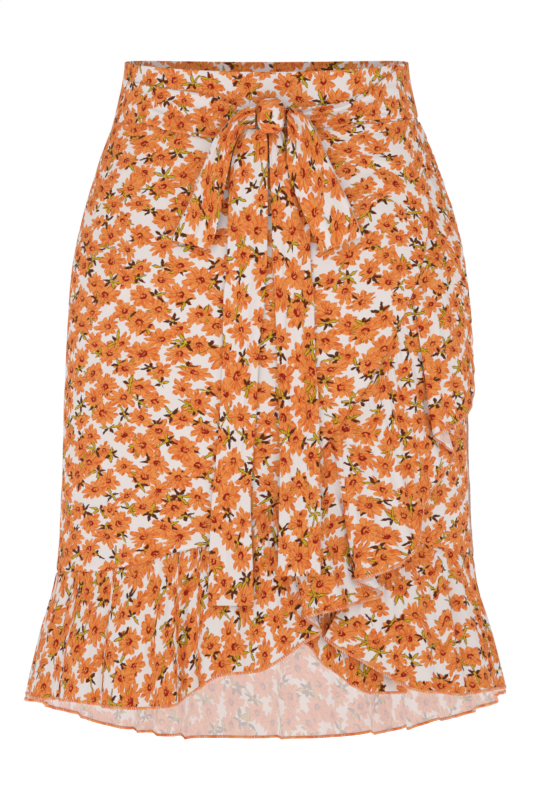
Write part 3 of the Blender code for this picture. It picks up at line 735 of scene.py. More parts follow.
class Wiring:
    """Adds and joins a node tree's nodes in short calls."""

    def __init__(self, tree):
        self.tree = tree
        self.column = 0

    def node(self, kind, **settings):
        made = self.tree.nodes.new(kind)
        made.location = (self.column * 170 % 3400, -(self.column // 20) * 260)
        self.column += 1
        for name, value in settings.items():
            setattr(made, name, value)
        return made

    def feed(self, socket, value):
        if isinstance(value, bpy.types.NodeSocket):
            self.tree.links.new(value, socket)
        elif value is not None:
            socket.default_value = value

    def math(self, operation, a, b=None, c=None):
        made = self.node("ShaderNodeMath", operation=operation)
        for socket, value in zip(made.inputs, (a, b, c)):
            self.feed(socket, value)
        return made.outputs[0]

    def vector(self, operation, a, b=None, scale=None):
        made = self.node("ShaderNodeVectorMath", operation=operation)
        self.feed(made.inputs[0], a)
        self.feed(made.inputs[1], b)
        if scale is not None:
            self.feed(made.inputs["Scale"], scale)
        return made.outputs["Value" if operation == "LENGTH" else "Vector"]

    def split(self, vector):
        made = self.node("ShaderNodeSeparateXYZ")
        self.feed(made.inputs[0], vector)
        return made.outputs[:3]

    def join(self, x, y, z=0.0):
        made = self.node("ShaderNodeCombineXYZ")
        for socket, value in zip(made.inputs, (x, y, z)):
            self.feed(socket, value)
        return made.outputs[0]

    def mix(self, share, a, b):
        made = self.node("ShaderNodeMix", data_type="RGBA")
        self.feed(made.inputs["Factor"], share)
        # the colour sockets share their names with the number ones, so they are found by type
        colours = [s for s in made.inputs if s.type == "RGBA"]
        self.feed(colours[0], a)
        self.feed(colours[1], b)
        return [s for s in made.outputs if s.type == "RGBA"][0]

    def noise(self, vector, scale, detail=1.0):
        made = self.node("ShaderNodeTexNoise", noise_dimensions="2D")
        self.feed(made.inputs["Vector"], vector)
        self.feed(made.inputs["Scale"], scale)
        self.feed(made.inputs["Detail"], detail)
        return made.outputs

    def cells(self, vector, scatter):
        made = self.node("ShaderNodeTexVoronoi", voronoi_dimensions="2D", feature="F1")
        self.feed(made.inputs["Vector"], vector)
        self.feed(made.inputs["Scale"], 1.0)
        self.feed(made.inputs["Randomness"], scatter)
        return made.outputs["Position"], made.outputs["Color"]

    def dice(self, vector):
        made = self.node("ShaderNodeTexWhiteNoise", noise_dimensions="3D")
        self.feed(made.inputs["Vector"], vector)
        return made.outputs["Value"]

    def turned(self, vector, angle):
        made = self.node("ShaderNodeVectorRotate", rotation_type="Z_AXIS")
        self.feed(made.inputs["Vector"], vector)
        self.feed(made.inputs["Angle"], angle)
        return made.outputs[0]

    def rest(self, share):
        """What a share leaves of 1."""
        return self.math("SUBTRACT", 1.0, share)

    def step(self, value, edge, softness):
        """0 below the edge and 1 above it, softly."""
        made = self.node("ShaderNodeMapRange", interpolation_type="SMOOTHSTEP")
        self.feed(made.inputs["Value"], value)
        self.feed(made.inputs["From Min"], edge - softness)
        self.feed(made.inputs["From Max"], edge + softness)
        return made.outputs["Result"]


def new_group(name, inputs, outputs):
    """An empty shader node group, its wiring, and its input and output nodes."""
    tree = bpy.data.node_groups.new(name, "ShaderNodeTree")
    for label, kind, default in inputs:
        socket = tree.interface.new_socket(label, in_out="INPUT", socket_type=kind)
        if default is not None:
            socket.default_value = default
    for label, kind in outputs:
        tree.interface.new_socket(label, in_out="OUTPUT", socket_type=kind)
    wiring = Wiring(tree)
    return tree, wiring, wiring.node("NodeGroupInput"), wiring.node("NodeGroupOutput")


COLOUR, NUMBER, VECTOR = "NodeSocketColor", "NodeSocketFloat", "NodeSocketVector"
FULL_TURN = 2 * math.pi

# The print, in steps of its scatter. A scatter of 0 is a regular grid
FLOWER_SCATTER = 0.24
FLOWER_RADIUS, FLOWER_RADIUS_MORE = 0.366, 0.10
PETAL_COUNT, PETAL_COUNT_MORE = 8.0, 2.9
HEART_RADIUS = 0.205
HEART_DOTS = 8
TWIG_SCATTER = 0.6
TWIG_CLEAR_OF_HEART = 0.56
TWIG_LEAVES = 6.0
LEAF_LENGTH, LEAF_LENGTH_MORE = 0.235, 0.17
LEAF_HALF_WIDTH = 0.049
DRIFT = 0.17  # how far the scatter drifts from even
RAGGED = 0.060  # how ragged its edges are


def round_share_of(w, x, y):
    """How far round its middle a place is, from 0 to 1."""
    return w.math("MULTIPLY_ADD", w.math("ARCTAN2", y, x), 1 / FULL_TURN, 0.5)


def daisy_group():
    """One scatter of daisies: where their petals and red hearts are, and how deep the orange is.

    Place counts in steps of the scatter, and Radius is how far out a place is in its flower,
    where about 1 is the tip of the longest petal.
    """
    tree, w, given, result = new_group(
        "Daisies",
        [("Place", VECTOR, None)],
        [("Petals", NUMBER), ("Deep", NUMBER), ("Heart", NUMBER), ("Radius", NUMBER)],
    )
    place = given.outputs["Place"]
    middle, chance = w.cells(place, FLOWER_SCATTER)
    turn, size, kind = w.split(chance)
    local = w.turned(w.vector("SUBTRACT", place, middle), w.math("MULTIPLY", turn, FULL_TURN))
    local = w.vector("MULTIPLY", local, w.join(1.0, w.math("MULTIPLY_ADD", kind, 0.50, 0.90)))
    x, y, _ = w.split(local)
    reach_of_all = w.math("MULTIPLY_ADD", size, FLOWER_RADIUS_MORE, FLOWER_RADIUS)
    radius = w.math("DIVIDE", w.vector("LENGTH", local), reach_of_all)
    around = round_share_of(w, x, y)
    petals = w.math("FLOOR", w.math("MULTIPLY_ADD", size, PETAL_COUNT_MORE, PETAL_COUNT))
    petal_place = w.math("MULTIPLY", around, petals)
    petal = w.math("FLOOR", petal_place)
    aside = w.math("ABSOLUTE", w.math("MULTIPLY_ADD", w.math("FRACT", petal_place), 2.0, -1.0))
    luck = w.dice(w.join(petal, w.math("MULTIPLY", turn, 40.0), w.math("MULTIPLY", size, 90.0)))
    bristles = w.math("PINGPONG", w.math("MULTIPLY", petal_place, 1.5), 0.5)
    reach = w.math("MULTIPLY_ADD", luck, 0.36, 0.70)
    reach = w.math("ADD", reach, w.math("MULTIPLY", bristles, 0.24))
    notch = w.math("MULTIPLY_ADD", kind, 0.20, 0.26)
    notch = w.math("MULTIPLY", w.math("POWER", aside, 2.6), notch)
    outline = w.math("MULTIPLY", reach, w.rest(notch))
    w.feed(result.inputs["Petals"], w.step(w.math("SUBTRACT", outline, radius), 0.0, 0.03))

    # Brush strokes run out along the petals, and the orange deepens beside their edges
    across, out = w.math("MULTIPLY", petal_place, 3.3), w.math("MULTIPLY", radius, 1.7)
    strokes = w.noise(w.join(across, out, turn), 1.3, 2.0)["Fac"]
    brush = w.noise(place, 5.0, 2.0)["Fac"]
    deep = w.math("MULTIPLY_ADD", w.math("POWER", aside, 2.0), 0.55, -0.02)
    deep = w.math("ADD", deep, w.math("MULTIPLY_ADD", strokes, 3.4, -1.7))
    deep = w.math("ADD", deep, w.math("MULTIPLY_ADD", brush, 1.6, -0.8))
    deep = w.math("ADD", deep, w.math("MULTIPLY", luck, 0.42))
    w.feed(result.inputs["Deep"], w.math("MINIMUM", w.math("MAXIMUM", deep, 0.0), 1.0))

    # A crescent on one side of the heart, dots on the other, and a smear between them
    ring = w.math("ABSOLUTE", w.math("SUBTRACT", radius, HEART_RADIUS))
    side = w.math("COSINE", w.math("MULTIPLY", around, FULL_TURN))
    crescent = w.math("MULTIPLY", w.step(side, 0.0, 0.3), w.rest(w.step(ring, 0.068, 0.02)))
    dots = w.step(w.math("SINE", w.math("MULTIPLY", around, FULL_TURN * HEART_DOTS)), 0.30, 0.3)
    dots = w.math("MULTIPLY", dots, w.rest(w.step(ring, 0.050, 0.02)))
    smear = w.rest(w.step(radius, 0.19, 0.05))
    smear = w.math("MULTIPLY", smear, w.step(w.noise(place, 14.0)["Fac"], 0.52, 0.05))
    w.feed(result.inputs["Heart"], w.math("MAXIMUM", w.math("MAXIMUM", crescent, dots), smear))
    w.feed(result.inputs["Radius"], radius)
    return tree


def twig_group():
    """One scatter of small leafy twigs: where their leaves are, and which parts are bright."""
    tree, w, given, result = new_group(
        "Twigs", [("Place", VECTOR, None)], [("Leaves", NUMBER), ("Bright", NUMBER)]
    )
    place = given.outputs["Place"]
    middle, chance = w.cells(place, TWIG_SCATTER)
    turn, size, kind = w.split(chance)
    twig = w.turned(w.vector("SUBTRACT", place, middle), w.math("MULTIPLY", turn, FULL_TURN))
    twig = w.vector("MULTIPLY", twig, w.join(1.0, w.math("MULTIPLY_ADD", kind, 0.75, 1.0)))
    x, y, _ = w.split(twig)
    far = w.vector("LENGTH", twig)
    leaf_place = w.math("MULTIPLY", round_share_of(w, x, y), TWIG_LEAVES)
    leaf = w.math("FLOOR", leaf_place)
    sector = FULL_TURN / TWIG_LEAVES
    lean = w.math("MULTIPLY_ADD", w.math("FRACT", leaf_place), sector, -sector / 2)
    luck = w.dice(w.join(leaf, w.math("MULTIPLY", turn, 70.0), w.math("MULTIPLY", size, 30.0)))
    other = w.dice(w.join(w.math("MULTIPLY", size, 55.0), leaf, w.math("MULTIPLY", turn, 20.0)))
    length = w.math("MULTIPLY_ADD", other, LEAF_LENGTH_MORE, LEAF_LENGTH)
    lean = w.math("MULTIPLY_ADD", luck, 0.5, w.math("ADD", lean, -0.25))
    offset = w.math("MULTIPLY", far, w.math("SINE", lean))
    along = w.math("MULTIPLY_ADD", w.math("DIVIDE", far, length), 2.0, -1.0)
    belly = w.rest(w.math("POWER", w.math("ABSOLUTE", along), 2.4))
    belly = w.math("MULTIPLY", belly, LEAF_HALF_WIDTH)
    margin = w.math("SUBTRACT", belly, w.math("ABSOLUTE", offset))
    blade = w.math("MULTIPLY", w.step(margin, 0.0, 0.006), w.math("GREATER_THAN", luck, 0.16))
    stem = w.rest(w.step(w.math("ABSOLUTE", y), 0.012, 0.006))
    stem = w.math("MULTIPLY", stem, w.rest(w.step(w.math("ABSOLUTE", x), 0.15, 0.02)))
    w.feed(result.inputs["Leaves"], w.math("MAXIMUM", blade, stem))
    inner = w.math("MULTIPLY", w.step(margin, 0.017, 0.005), w.math("GREATER_THAN", other, 0.63))
    base = w.rest(w.step(far, 0.045, 0.015))
    w.feed(result.inputs["Bright"], w.math("MAXIMUM", inner, base))
    return tree


def flower_print_group():
    """Orange daisies with red hearts over brown and mustard twigs, on an off-white ground."""
    tree, w, given, result = new_group(
        "Flower print",
        [
            ("Place", VECTOR, None),
            ("Spacing", NUMBER, 0.0235),
            ("Ground", COLOUR, (0.8, 0.75, 0.73, 1)),
            ("Petal light", COLOUR, (0.76, 0.3, 0.09, 1)),
            ("Petal deep", COLOUR, (0.76, 0.18, 0.05, 1)),
            ("Centre", COLOUR, (0.4, 0.02, 0.03, 1)),
            ("Leaf dark", COLOUR, (0.17, 0.045, 0.015, 1)),
            ("Leaf bright", COLOUR, (0.56, 0.38, 0.03, 1)),
        ],
        [("Color", COLOUR)],
    )
    pace = w.math("DIVIDE", 1 / math.sqrt(2), given.outputs["Spacing"])
    place = w.vector("SCALE", given.outputs["Place"], scale=pace)
    drift = w.vector("SUBTRACT", w.noise(place, 0.9)["Color"], (0.5, 0.5, 0.5))
    ragged = w.vector("SUBTRACT", w.noise(place, 11.0)["Color"], (0.5, 0.5, 0.5))
    place = w.vector("ADD", place, w.vector("SCALE", drift, scale=DRIFT))
    place = w.vector("ADD", place, w.vector("SCALE", ragged, scale=RAGGED))

    def scatter(kind, build, shift):
        made = w.node("ShaderNodeGroup", node_tree=shared_group(kind, build))
        w.feed(made.inputs["Place"], w.vector("ADD", place, shift))
        return made.outputs

    # The second scatter of each fills the gaps between the first one's
    printed = given.outputs["Ground"]
    clear = None
    for shift in ((0.0, 0.0, 0.0), (7.5, 3.5, 0.0)):
        daisy = scatter("Daisies", daisy_group, shift)
        orange = w.mix(daisy["Deep"], given.outputs["Petal light"], given.outputs["Petal deep"])
        orange = w.mix(daisy["Heart"], orange, given.outputs["Centre"])
        printed = w.mix(daisy["Petals"], printed, orange)
        far = w.step(daisy["Radius"], TWIG_CLEAR_OF_HEART, 0.05)
        clear = far if clear is None else w.math("MULTIPLY", clear, far)
    for shift in ((4.5, 9.0, 0.0), (2.0, 5.5, 0.0)):
        twig = scatter("Twigs", twig_group, shift)
        green = w.mix(twig["Bright"], given.outputs["Leaf dark"], given.outputs["Leaf bright"])
        printed = w.mix(w.math("MULTIPLY", twig["Leaves"], clear), printed, green)
    w.feed(result.inputs["Color"], printed)
    return tree


def weave_group():
    """The fine plain weave of the cloth, as a height."""
    tree, w, given, result = new_group(
        "Plain weave",
        [("Place", VECTOR, None), ("Thread", NUMBER, 0.00042)],
        [("Height", NUMBER)],
    )
    pace = w.math("DIVIDE", math.pi, given.outputs["Thread"])
    x, y, _ = w.split(w.vector("SCALE", given.outputs["Place"], scale=pace))
    over = w.math("MULTIPLY", w.math("SINE", x), w.math("SINE", y))
    slub = w.noise(given.outputs["Place"], 900.0, 2.0)["Fac"]
    w.feed(result.inputs["Height"], w.math("MULTIPLY_ADD", over, 0.35, slub))
    return tree


def overlock_group():
    """Slanting overlock stitches: how much pale thread shows, and the thread's height."""
    tree, w, given, result = new_group(
        "Overlock",
        [("Place", VECTOR, None), ("Stitch", NUMBER, 0.0024)],
        [("Pale", NUMBER), ("Height", NUMBER)],
    )
    x, y, _ = w.split(given.outputs["Place"])
    slant = w.math("MULTIPLY_ADD", y, 0.75, x)
    stitch = w.math("DIVIDE", slant, given.outputs["Stitch"])
    beat = w.math("SINE", w.math("MULTIPLY", stitch, FULL_TURN))
    wear = w.noise(given.outputs["Place"], 160.0, 2.0)["Fac"]
    w.feed(result.inputs["Height"], beat)
    pale = w.math("MULTIPLY", w.step(beat, 0.55, 0.25), w.step(wear, 0.50, 0.10))
    w.feed(result.inputs["Pale"], pale)
    return tree


def shared_group(name, build):
    """The node group of that name, built the first time it is asked for."""
    return bpy.data.node_groups.get(name) or build()


def linear(colour):
    """A colour as picked on screen, in the shader's linear light and with no transparency."""
    light = [((c + 0.055) / 1.055) ** 2.4 if c > 0.04045 else c / 12.92 for c in colour]
    return (*light, 1.0)


def start_material(name, roughness, sheen):
    """A material with a Principled shader set for cloth, and its wiring."""
    material = bpy.data.materials.new(name)
    material.use_nodes = True
    wiring = Wiring(material.node_tree)
    shader = material.node_tree.nodes["Principled BSDF"]
    shader.inputs["Roughness"].default_value = roughness
    shader.inputs["Specular IOR Level"].default_value = 0.15
    shader.inputs["Sheen Weight"].default_value = sheen
    shader.inputs["Sheen Roughness"].default_value = 0.5
    return material, wiring, shader


def weave_bump(wiring, shader, place, strength):
    """Gives a shader the fine weave as a bump."""
    weave = wiring.node("ShaderNodeGroup", node_tree=shared_group("Plain weave", weave_group))
    wiring.feed(weave.inputs["Place"], place)
    bump = wiring.node("ShaderNodeBump")
    bump.inputs["Strength"].default_value = strength
    bump.inputs["Distance"].default_value = 0.0002
    wiring.feed(bump.inputs["Height"], weave.outputs["Height"])
    wiring.feed(shader.inputs["Normal"], bump.outputs["Normal"])


def printed_cloth(name, stretch, start, faded):
    """The printed viscose.

    stretch scales the flowers across and down, start moves the print to its own place on this
    piece, and faded is the share of the wrong side's paleness.
    """
    colours = bpy.context.scene.skirt_print
    material, w, shader = start_material(name, 0.78, 0.03)
    place = w.node("ShaderNodeUVMap", uv_map="Cut").outputs[0]
    move = w.node("ShaderNodeMapping", vector_type="POINT")
    w.feed(move.inputs["Vector"], place)
    move.inputs["Location"].default_value = (start[0], start[1], 0)
    move.inputs["Scale"].default_value = (1 / stretch[0], 1 / stretch[1], 1)
    flowers = w.node("ShaderNodeGroup", node_tree=shared_group("Flower print", flower_print_group))
    w.feed(flowers.inputs["Place"], move.outputs[0])
    flowers.inputs["Spacing"].default_value = colours.flower_spacing
    for label, value in (
        ("Ground", colours.ground),
        ("Petal light", colours.petal_light),
        ("Petal deep", colours.petal_deep),
        ("Centre", colours.centre),
        ("Leaf dark", colours.leaf_dark),
        ("Leaf bright", colours.leaf_bright),
    ):
        flowers.inputs[label].default_value = linear(value)
    base = flowers.outputs["Color"]
    if faded:
        base = w.mix(faded, base, linear(colours.wrong_side))
    w.feed(shader.inputs["Base Color"], base)
    weave_bump(w, shader, place, 0.25)
    return material


def overlock_thread():
    """The orange thread of the hems, with pale stitches."""
    colours = bpy.context.scene.skirt_print
    material, w, shader = start_material("Overlock thread", 0.65, 0.2)
    place = w.node("ShaderNodeUVMap", uv_map="Cut").outputs[0]
    stitches = w.node("ShaderNodeGroup", node_tree=shared_group("Overlock", overlock_group))
    w.feed(stitches.inputs["Place"], place)
    patchy = w.noise(place, 70.0, 1.0)["Fac"]
    thread = w.mix(w.step(patchy, 0.5, 0.12), linear(colours.thread), linear(colours.petal_light))
    base = w.mix(w.math("MULTIPLY", stitches.outputs["Pale"], 0.75), thread, linear(colours.ground))
    w.feed(shader.inputs["Base Color"], base)
    bump = w.node("ShaderNodeBump")
    bump.inputs["Strength"].default_value = 0.6
    bump.inputs["Distance"].default_value = 0.0003
    w.feed(bump.inputs["Height"], stitches.outputs["Height"])
    w.feed(shader.inputs["Normal"], bump.outputs["Normal"])
    return material


# --- Settings -------------------------------------------------------------------------------


def colour_setting(name, description, default):
    """A colour as picked on screen."""
    return FloatVectorProperty(
        name=name, description=description, default=default, subtype="COLOR_GAMMA",
        size=3, min=0, max=1,
    )


def length_setting(name, description, default, **limits):
    """A length in metres."""
    return FloatProperty(
        name=name, description=description, default=default, unit="LENGTH", **limits
    )


class SkirtPrint(bpy.types.PropertyGroup):
    """The print's colours and scale."""

    ground: colour_setting("Ground", "The off-white of the cloth", (0.885, 0.845, 0.830))
    petal_light: colour_setting(
        "Light petals", "The lighter orange of the petals", (0.890, 0.562, 0.290)
    )
    petal_deep: colour_setting(
        "Deep petals", "The deeper orange towards petal edges", (0.825, 0.370, 0.150)
    )
    centre: colour_setting(
        "Centres", "The red crescent and dots in each flower", (0.570, 0.085, 0.060)
    )
    leaf_dark: colour_setting("Dark leaves", "The brown of most leaves", (0.350, 0.150, 0.040))
    leaf_bright: colour_setting(
        "Bright leaves", "The mustard of some leaves", (0.760, 0.620, 0.110)
    )
    wrong_side: colour_setting(
        "Wrong side", "What the print fades towards inside", (0.930, 0.912, 0.905)
    )
    thread: colour_setting("Thread", "The overlock thread of the hems", (0.870, 0.440, 0.220))
    flower_spacing: length_setting(
        "Flower spacing", "From one flower's centre to the next", 0.0235, min=0.01, max=0.1
    )


class SkirtCloth(bpy.types.PropertyGroup):
    """How the cloth is gathered."""

    gather_spacing: length_setting(
        "Gather spacing", "Between fine gathers under a ruffle's seam", 0.0075, min=0.003, max=0.03
    )
    gather_rise: length_setting(
        "Gather rise", "How far a fine gather stands out", 0.0012, min=0, max=0.004
    )
    pleat_rise: length_setting(
        "Pleat rise", "How far the belt's pleats stand out at the knot", 0.0023, min=0, max=0.004
    )


class SkirtStudio(bpy.types.PropertyGroup):
    """The camera and light."""

    camera_distance: length_setting(
        "Camera distance", "From the camera to the middle of the skirt", 7.0, min=2.0, max=12.0
    )
    camera_height: length_setting("Camera height", "The camera's height from the waist", -0.3235)
    view_height: length_setting(
        "View height", "The height of what the camera sees at the skirt", 0.7656, min=0.1
    )
    room_light: FloatProperty(
        name="Room light", description="The strength of the light from all round",
        default=0.615, min=0,
    )
    key_power: FloatProperty(
        name="Key light", description="The power of the main lamp, in watts", default=17.5, min=0
    )


# --- Pieces of the skirt --------------------------------------------------------------------

PRINT_WIDE = (1.20, 0.88)  # the print's stretch across and down on the body
PRINT_TALL = (0.90, 1.16)  # on ruffles, which are gathered, and along the belt
PRINT_BAND = (1.05, 1.0)
PRINT_PLAIN = (1.0, 1.0)
WRONG_SIDE = 0.60  # how far the print fades on the wrong side


def cloth_pair(name, stretch, start):
    """The right-side and wrong-side materials of one piece."""
    right = printed_cloth(f"{name} right side", stretch, start, 0.0)
    wrong = printed_cloth(f"{name} wrong side", stretch, start, WRONG_SIDE)
    return right, wrong


BAND_HALF_THICKNESS = 0.00105  # of the doubled waistband, to the outer face of each layer
BAND_FACE_ROWS = 22
BAND_FOLD_ROWS = 7
SEAM_DIP = -0.0007  # how far cloth is drawn in at the side seams, and how far from them
SEAM_DIP_REACH = 0.0022


def band_length(name, start_angle, end_angle, columns, print_start):
    """A length of the doubled waistband: a strip folded over its upper edge."""
    angles = np.linspace(start_angle, end_angle, columns)
    face = np.linspace(1, 0, BAND_FACE_ROWS)
    half_turn = np.linspace(0, np.pi, BAND_FOLD_ROWS + 2)[1:-1]
    flat, straight = np.zeros(BAND_FACE_ROWS), np.ones(BAND_FACE_ROWS)
    share = np.concatenate([face, np.zeros(BAND_FOLD_ROWS), face[::-1]])[:, None]
    rise = np.concatenate([flat, np.sin(half_turn), flat])[:, None]
    outward = np.concatenate([straight, np.cos(half_turn), -straight])[:, None]
    top = waist_top(angles)[None, :] + BAND_HALF_THICKNESS
    depth = top + share * (BAND_HEIGHT - BAND_HALF_THICKNESS) - rise * BAND_HALF_THICKNESS
    ends = np.minimum(angles - start_angle, end_angle - angles) * METRES_PER_DEGREE
    seam_dip = SEAM_DIP * bell(ends, SEAM_DIP_REACH)[None, :]
    puckers = 0.0003 * waves(angles[None, :] * METRES_PER_DEGREE, 0.03, 5)
    out = BAND_OUT + outward * BAND_HALF_THICKNESS + (seam_dip + puckers) * (outward > 0)
    points = on_form(angles[None, :], depth, out)[::-1]
    right, _ = cloth_pair(name, PRINT_BAND, print_start)
    cut = cut_map(points, columns // 2)
    sheet = lay(name, points, cut, right, right, thickness=BAND_CLOTH)
    return sheet


def panel_sheet(angles, rows, seam, out, creases, seed, middle):
    """A body panel's points and cut, from the waist seam down, closest in rows near the top."""
    share = (np.linspace(0, 1, rows) ** 1.15)[:, None]
    top = (waist_seam(angles) + WAIST_GAP)[None, :]
    end = look_up(seam, angles).depth[None, :]
    depth = top * (1 - share) + end * share
    place = angles[None, :] * METRES_PER_DEGREE
    above_seam, below_waist = end - depth, depth - top
    rise = pressed(angles[None, :], depth, creases)
    uneven = waves(place + depth * 0.35, 0.06, seed) * waves(depth, 0.09, seed + 3)
    allowance = bell(above_seam - 0.004, 0.005)  # the seam allowances lie under here
    eased_in = waves(place, 0.011, seed + 7) * np.exp(-below_waist / 0.03)
    rise = rise + 0.0005 * uneven + 0.0005 * allowance + 0.00035 * eased_in
    rise = rise * np.clip(below_waist / 0.004, 0, 1) * np.clip(above_seam / 0.002, 0, 1)
    points = on_form(angles[None, :], depth, out + rise)
    return points, hanging_map(points, middle) + taken_up(angles[None, :], depth, creases)


TUCKED_ROWS = 2
TUCK = 0.0030  # how far a ruffle's top edge runs up behind the panel's
TUCK_OUT = -0.0009
GATHERS_WIDER = 1.3  # gathers at the free edge, for the spacing of those at the seam
GATHERS_REACH = 0.035


def ruffle_sheet(layer):
    """A layer's ruffle: its points and cut, from its seam down."""
    at = np.linspace(0, len(layer.folds) - 1, (len(layer.folds) - 1) * layer.ruffle_steps + 1)
    fold = follow(layer.folds, at)
    share = np.linspace(0, 1, layer.ruffle_rows)[:, None]
    seam_out, creases = layer.out, layer.ruffle_creases
    seam_depth = look_up(layer.seam, fold.seam_angle).depth[None, :] + SEAM_GAP
    lean = (fold.edge_angle - fold.seam_angle)[None, :]
    angle = fold.seam_angle[None, :] + lean * share**RUFFLE_LEAN
    depth = seam_depth + (fold.edge_depth[None, :] - seam_depth) * share
    depth = depth + layer.hem_steps * stepped(angle, depth, creases) * share**2
    out = seam_out + (fold.edge_out[None, :] - seam_out) * share**RUFFLE_SPREAD
    plain = on_form(angle, depth, out)
    edge_place = lengths_along(plain, 1)[-1][None, :]
    down = lengths_along(plain, 0)
    cloth = bpy.context.scene.skirt_cloth
    spacing, seed = cloth.gather_spacing * GATHERS_WIDER, layer.ruffle_seed
    puckers = gathers(edge_place, down, spacing, cloth.gather_rise, GATHERS_REACH, seed)
    rise = (puckers + pressed(angle, depth, creases)) * np.clip(down / 0.003, 0.10, 1)
    rise = rise + TUCK_OUT * bell(down, 0.0018)
    hidden = np.linspace(TUCK, TUCK / TUCKED_ROWS, TUCKED_ROWS)[:, None]
    angle = np.concatenate([np.repeat(angle[:1], TUCKED_ROWS, axis=0), angle])
    depth = np.concatenate([depth[:1] - hidden, depth])
    out = np.concatenate([np.full((TUCKED_ROWS, out.shape[1]), seam_out + TUCK_OUT), out + rise])
    points = on_form(angle, depth, out)
    return points, flounce_map(points, TUCKED_ROWS) + taken_up(angle[-1:], depth[-1:], creases)


LEAST_AREA_SHARE = 0.301  # the least share of its rectangle that state_cut keeps as a sheet's area


def state_cut(points):
    """Works out the size a sheet was cut to, from its own lengths, with its area kept between that
    share of its rectangle and the whole; the results are not used.
    """
    corner = points[:-1, :-1]
    cells = np.cross(points[1:, :-1] - corner, points[:-1, 1:] - corner)
    area = float(np.linalg.norm(cells, axis=-1).sum())
    width = float(lengths_along(points, 1)[:, -1].max())
    height = float(lengths_along(points, 0)[-1].max())
    whole = width * height
    area = min(max(area, LEAST_AREA_SHARE * whole), whole)


class SKIRT_OT_waistband(bpy.types.Operator):
    """Lay the doubled waistband, in a front and a back length"""

    bl_idname = "skirt.waistband"
    bl_label = "Waistband"

    def execute(self, context):
        left, right, seam = BAND_LEFT_SEAM, BAND_RIGHT_SEAM, HALF_SIDE_SEAM
        front, back = "waistband_front", "waistband_back"
        band_length(front, left + seam, right - seam, 180, (0.31, 0.07))
        band_length(back, right + seam, 360 + left - seam, 260, (0.77, 0.41))
        return {"FINISHED"}


class SKIRT_OT_panels(bpy.types.Operator):
    """Lay the back, the under front and the over front"""

    bl_idname = "skirt.panels"
    bl_label = "Panels"

    def execute(self, context):
        for layer in LAYERS:
            ends = layer.folds[0].seam_angle, layer.folds[-1].seam_angle
            angles = np.linspace(*ends, layer.panel_columns)
            middle = int(np.argmin(np.abs(angles - layer.middle)))
            points, cut = panel_sheet(
                angles, layer.panel_rows, layer.seam, layer.out, layer.panel_creases,
                layer.panel_seed, middle,
            )
            name = f"{layer.side}_panel"
            right, wrong = cloth_pair(name, PRINT_WIDE, layer.panel_print)
            sheet = lay(name, points, cut, right, wrong)
            state_cut(points)
        return {"FINISHED"}


class SKIRT_OT_ruffles(bpy.types.Operator):
    """Lay the gathered ruffles and their overlocked hems"""

    bl_idname = "skirt.ruffles"
    bl_label = "Ruffles"

    def execute(self, context):
        thread = overlock_thread()
        for layer in LAYERS:
            points, cut = ruffle_sheet(layer)
            name = f"{layer.side}_ruffle"
            right, wrong = cloth_pair(name, PRINT_TALL, layer.ruffle_print)
            sheet = lay(name, points, cut, right, wrong)
            hem = hem_bead(f"{layer.side}_hem", points, thread)
            state_cut(points)
        return {"FINISHED"}


def belt_piece(name, points, stretch, print_start):
    """Lays one piece of the belt."""
    right, wrong = cloth_pair(name, stretch, print_start)
    sheet = lay(name, points, cut_map(points), right, wrong)
    state_cut(points)


def sash_points(stretches, rows, columns, seed):
    """A band of the belt from its side seam to the knot, with pleats that deepen towards it."""
    share = np.linspace(0, 1, rows)[:, None]
    at = np.linspace(0, len(stretches) - 1, columns)
    stretch = follow(stretches, at)
    depth = stretch.upper[None, :] * (1 - share) + stretch.lower[None, :] * share
    toward = (at / at[-1])[None, :]
    rise = bpy.context.scene.skirt_cloth.pleat_rise * (0.12 + 0.88 * toward**0.8)
    pleats = waves(share + 0.10 * np.sin(toward * 5 + seed), 0.26, seed) * rise
    ends = np.clip(np.minimum(share, 1 - share) / 0.05, 0, 1)
    pleats = pleats * ends - 0.0012 * (1 - ends) * (0.3 + 0.7 * toward)
    return on_form(stretch.angle[None, :], depth, stretch.out[None, :] + pleats)


class SKIRT_OT_sash(bpy.types.Operator):
    """Lay the two bands of the belt that run from the side seams to the knot"""

    bl_idname = "skirt.sash"
    bl_label = "Sash bands"

    def execute(self, context):
        for name, stretches, seed, start in (
            ("sash_left", SASH_LEFT, 71, (0.25, 0.61)),
            ("sash_right", SASH_RIGHT, 81, (0.58, 0.33)),
        ):
            points = sash_points(stretches, 60, 150, seed)
            if name == "sash_right":
                points = points[:, ::-1]
            belt_piece(name, points, PRINT_PLAIN, start)
        return {"FINISHED"}


def line_points(line, count, out, creases):
    """Points across lines of a loop or tail; creases gives the rise at each share across."""
    share = np.linspace(0, 1, count)[None, :]
    across = line.left[:, None] * (1 - share) + line.right[:, None] * share
    depth = line.left_depth[:, None] * (1 - share) + line.right_depth[:, None] * share
    off = out[:, None] + creases
    return on_form(angle_of(across, depth, off), depth, off)


LOOP_FOLD = 0.60  # where a folded edge runs down each loop, as a share of its width


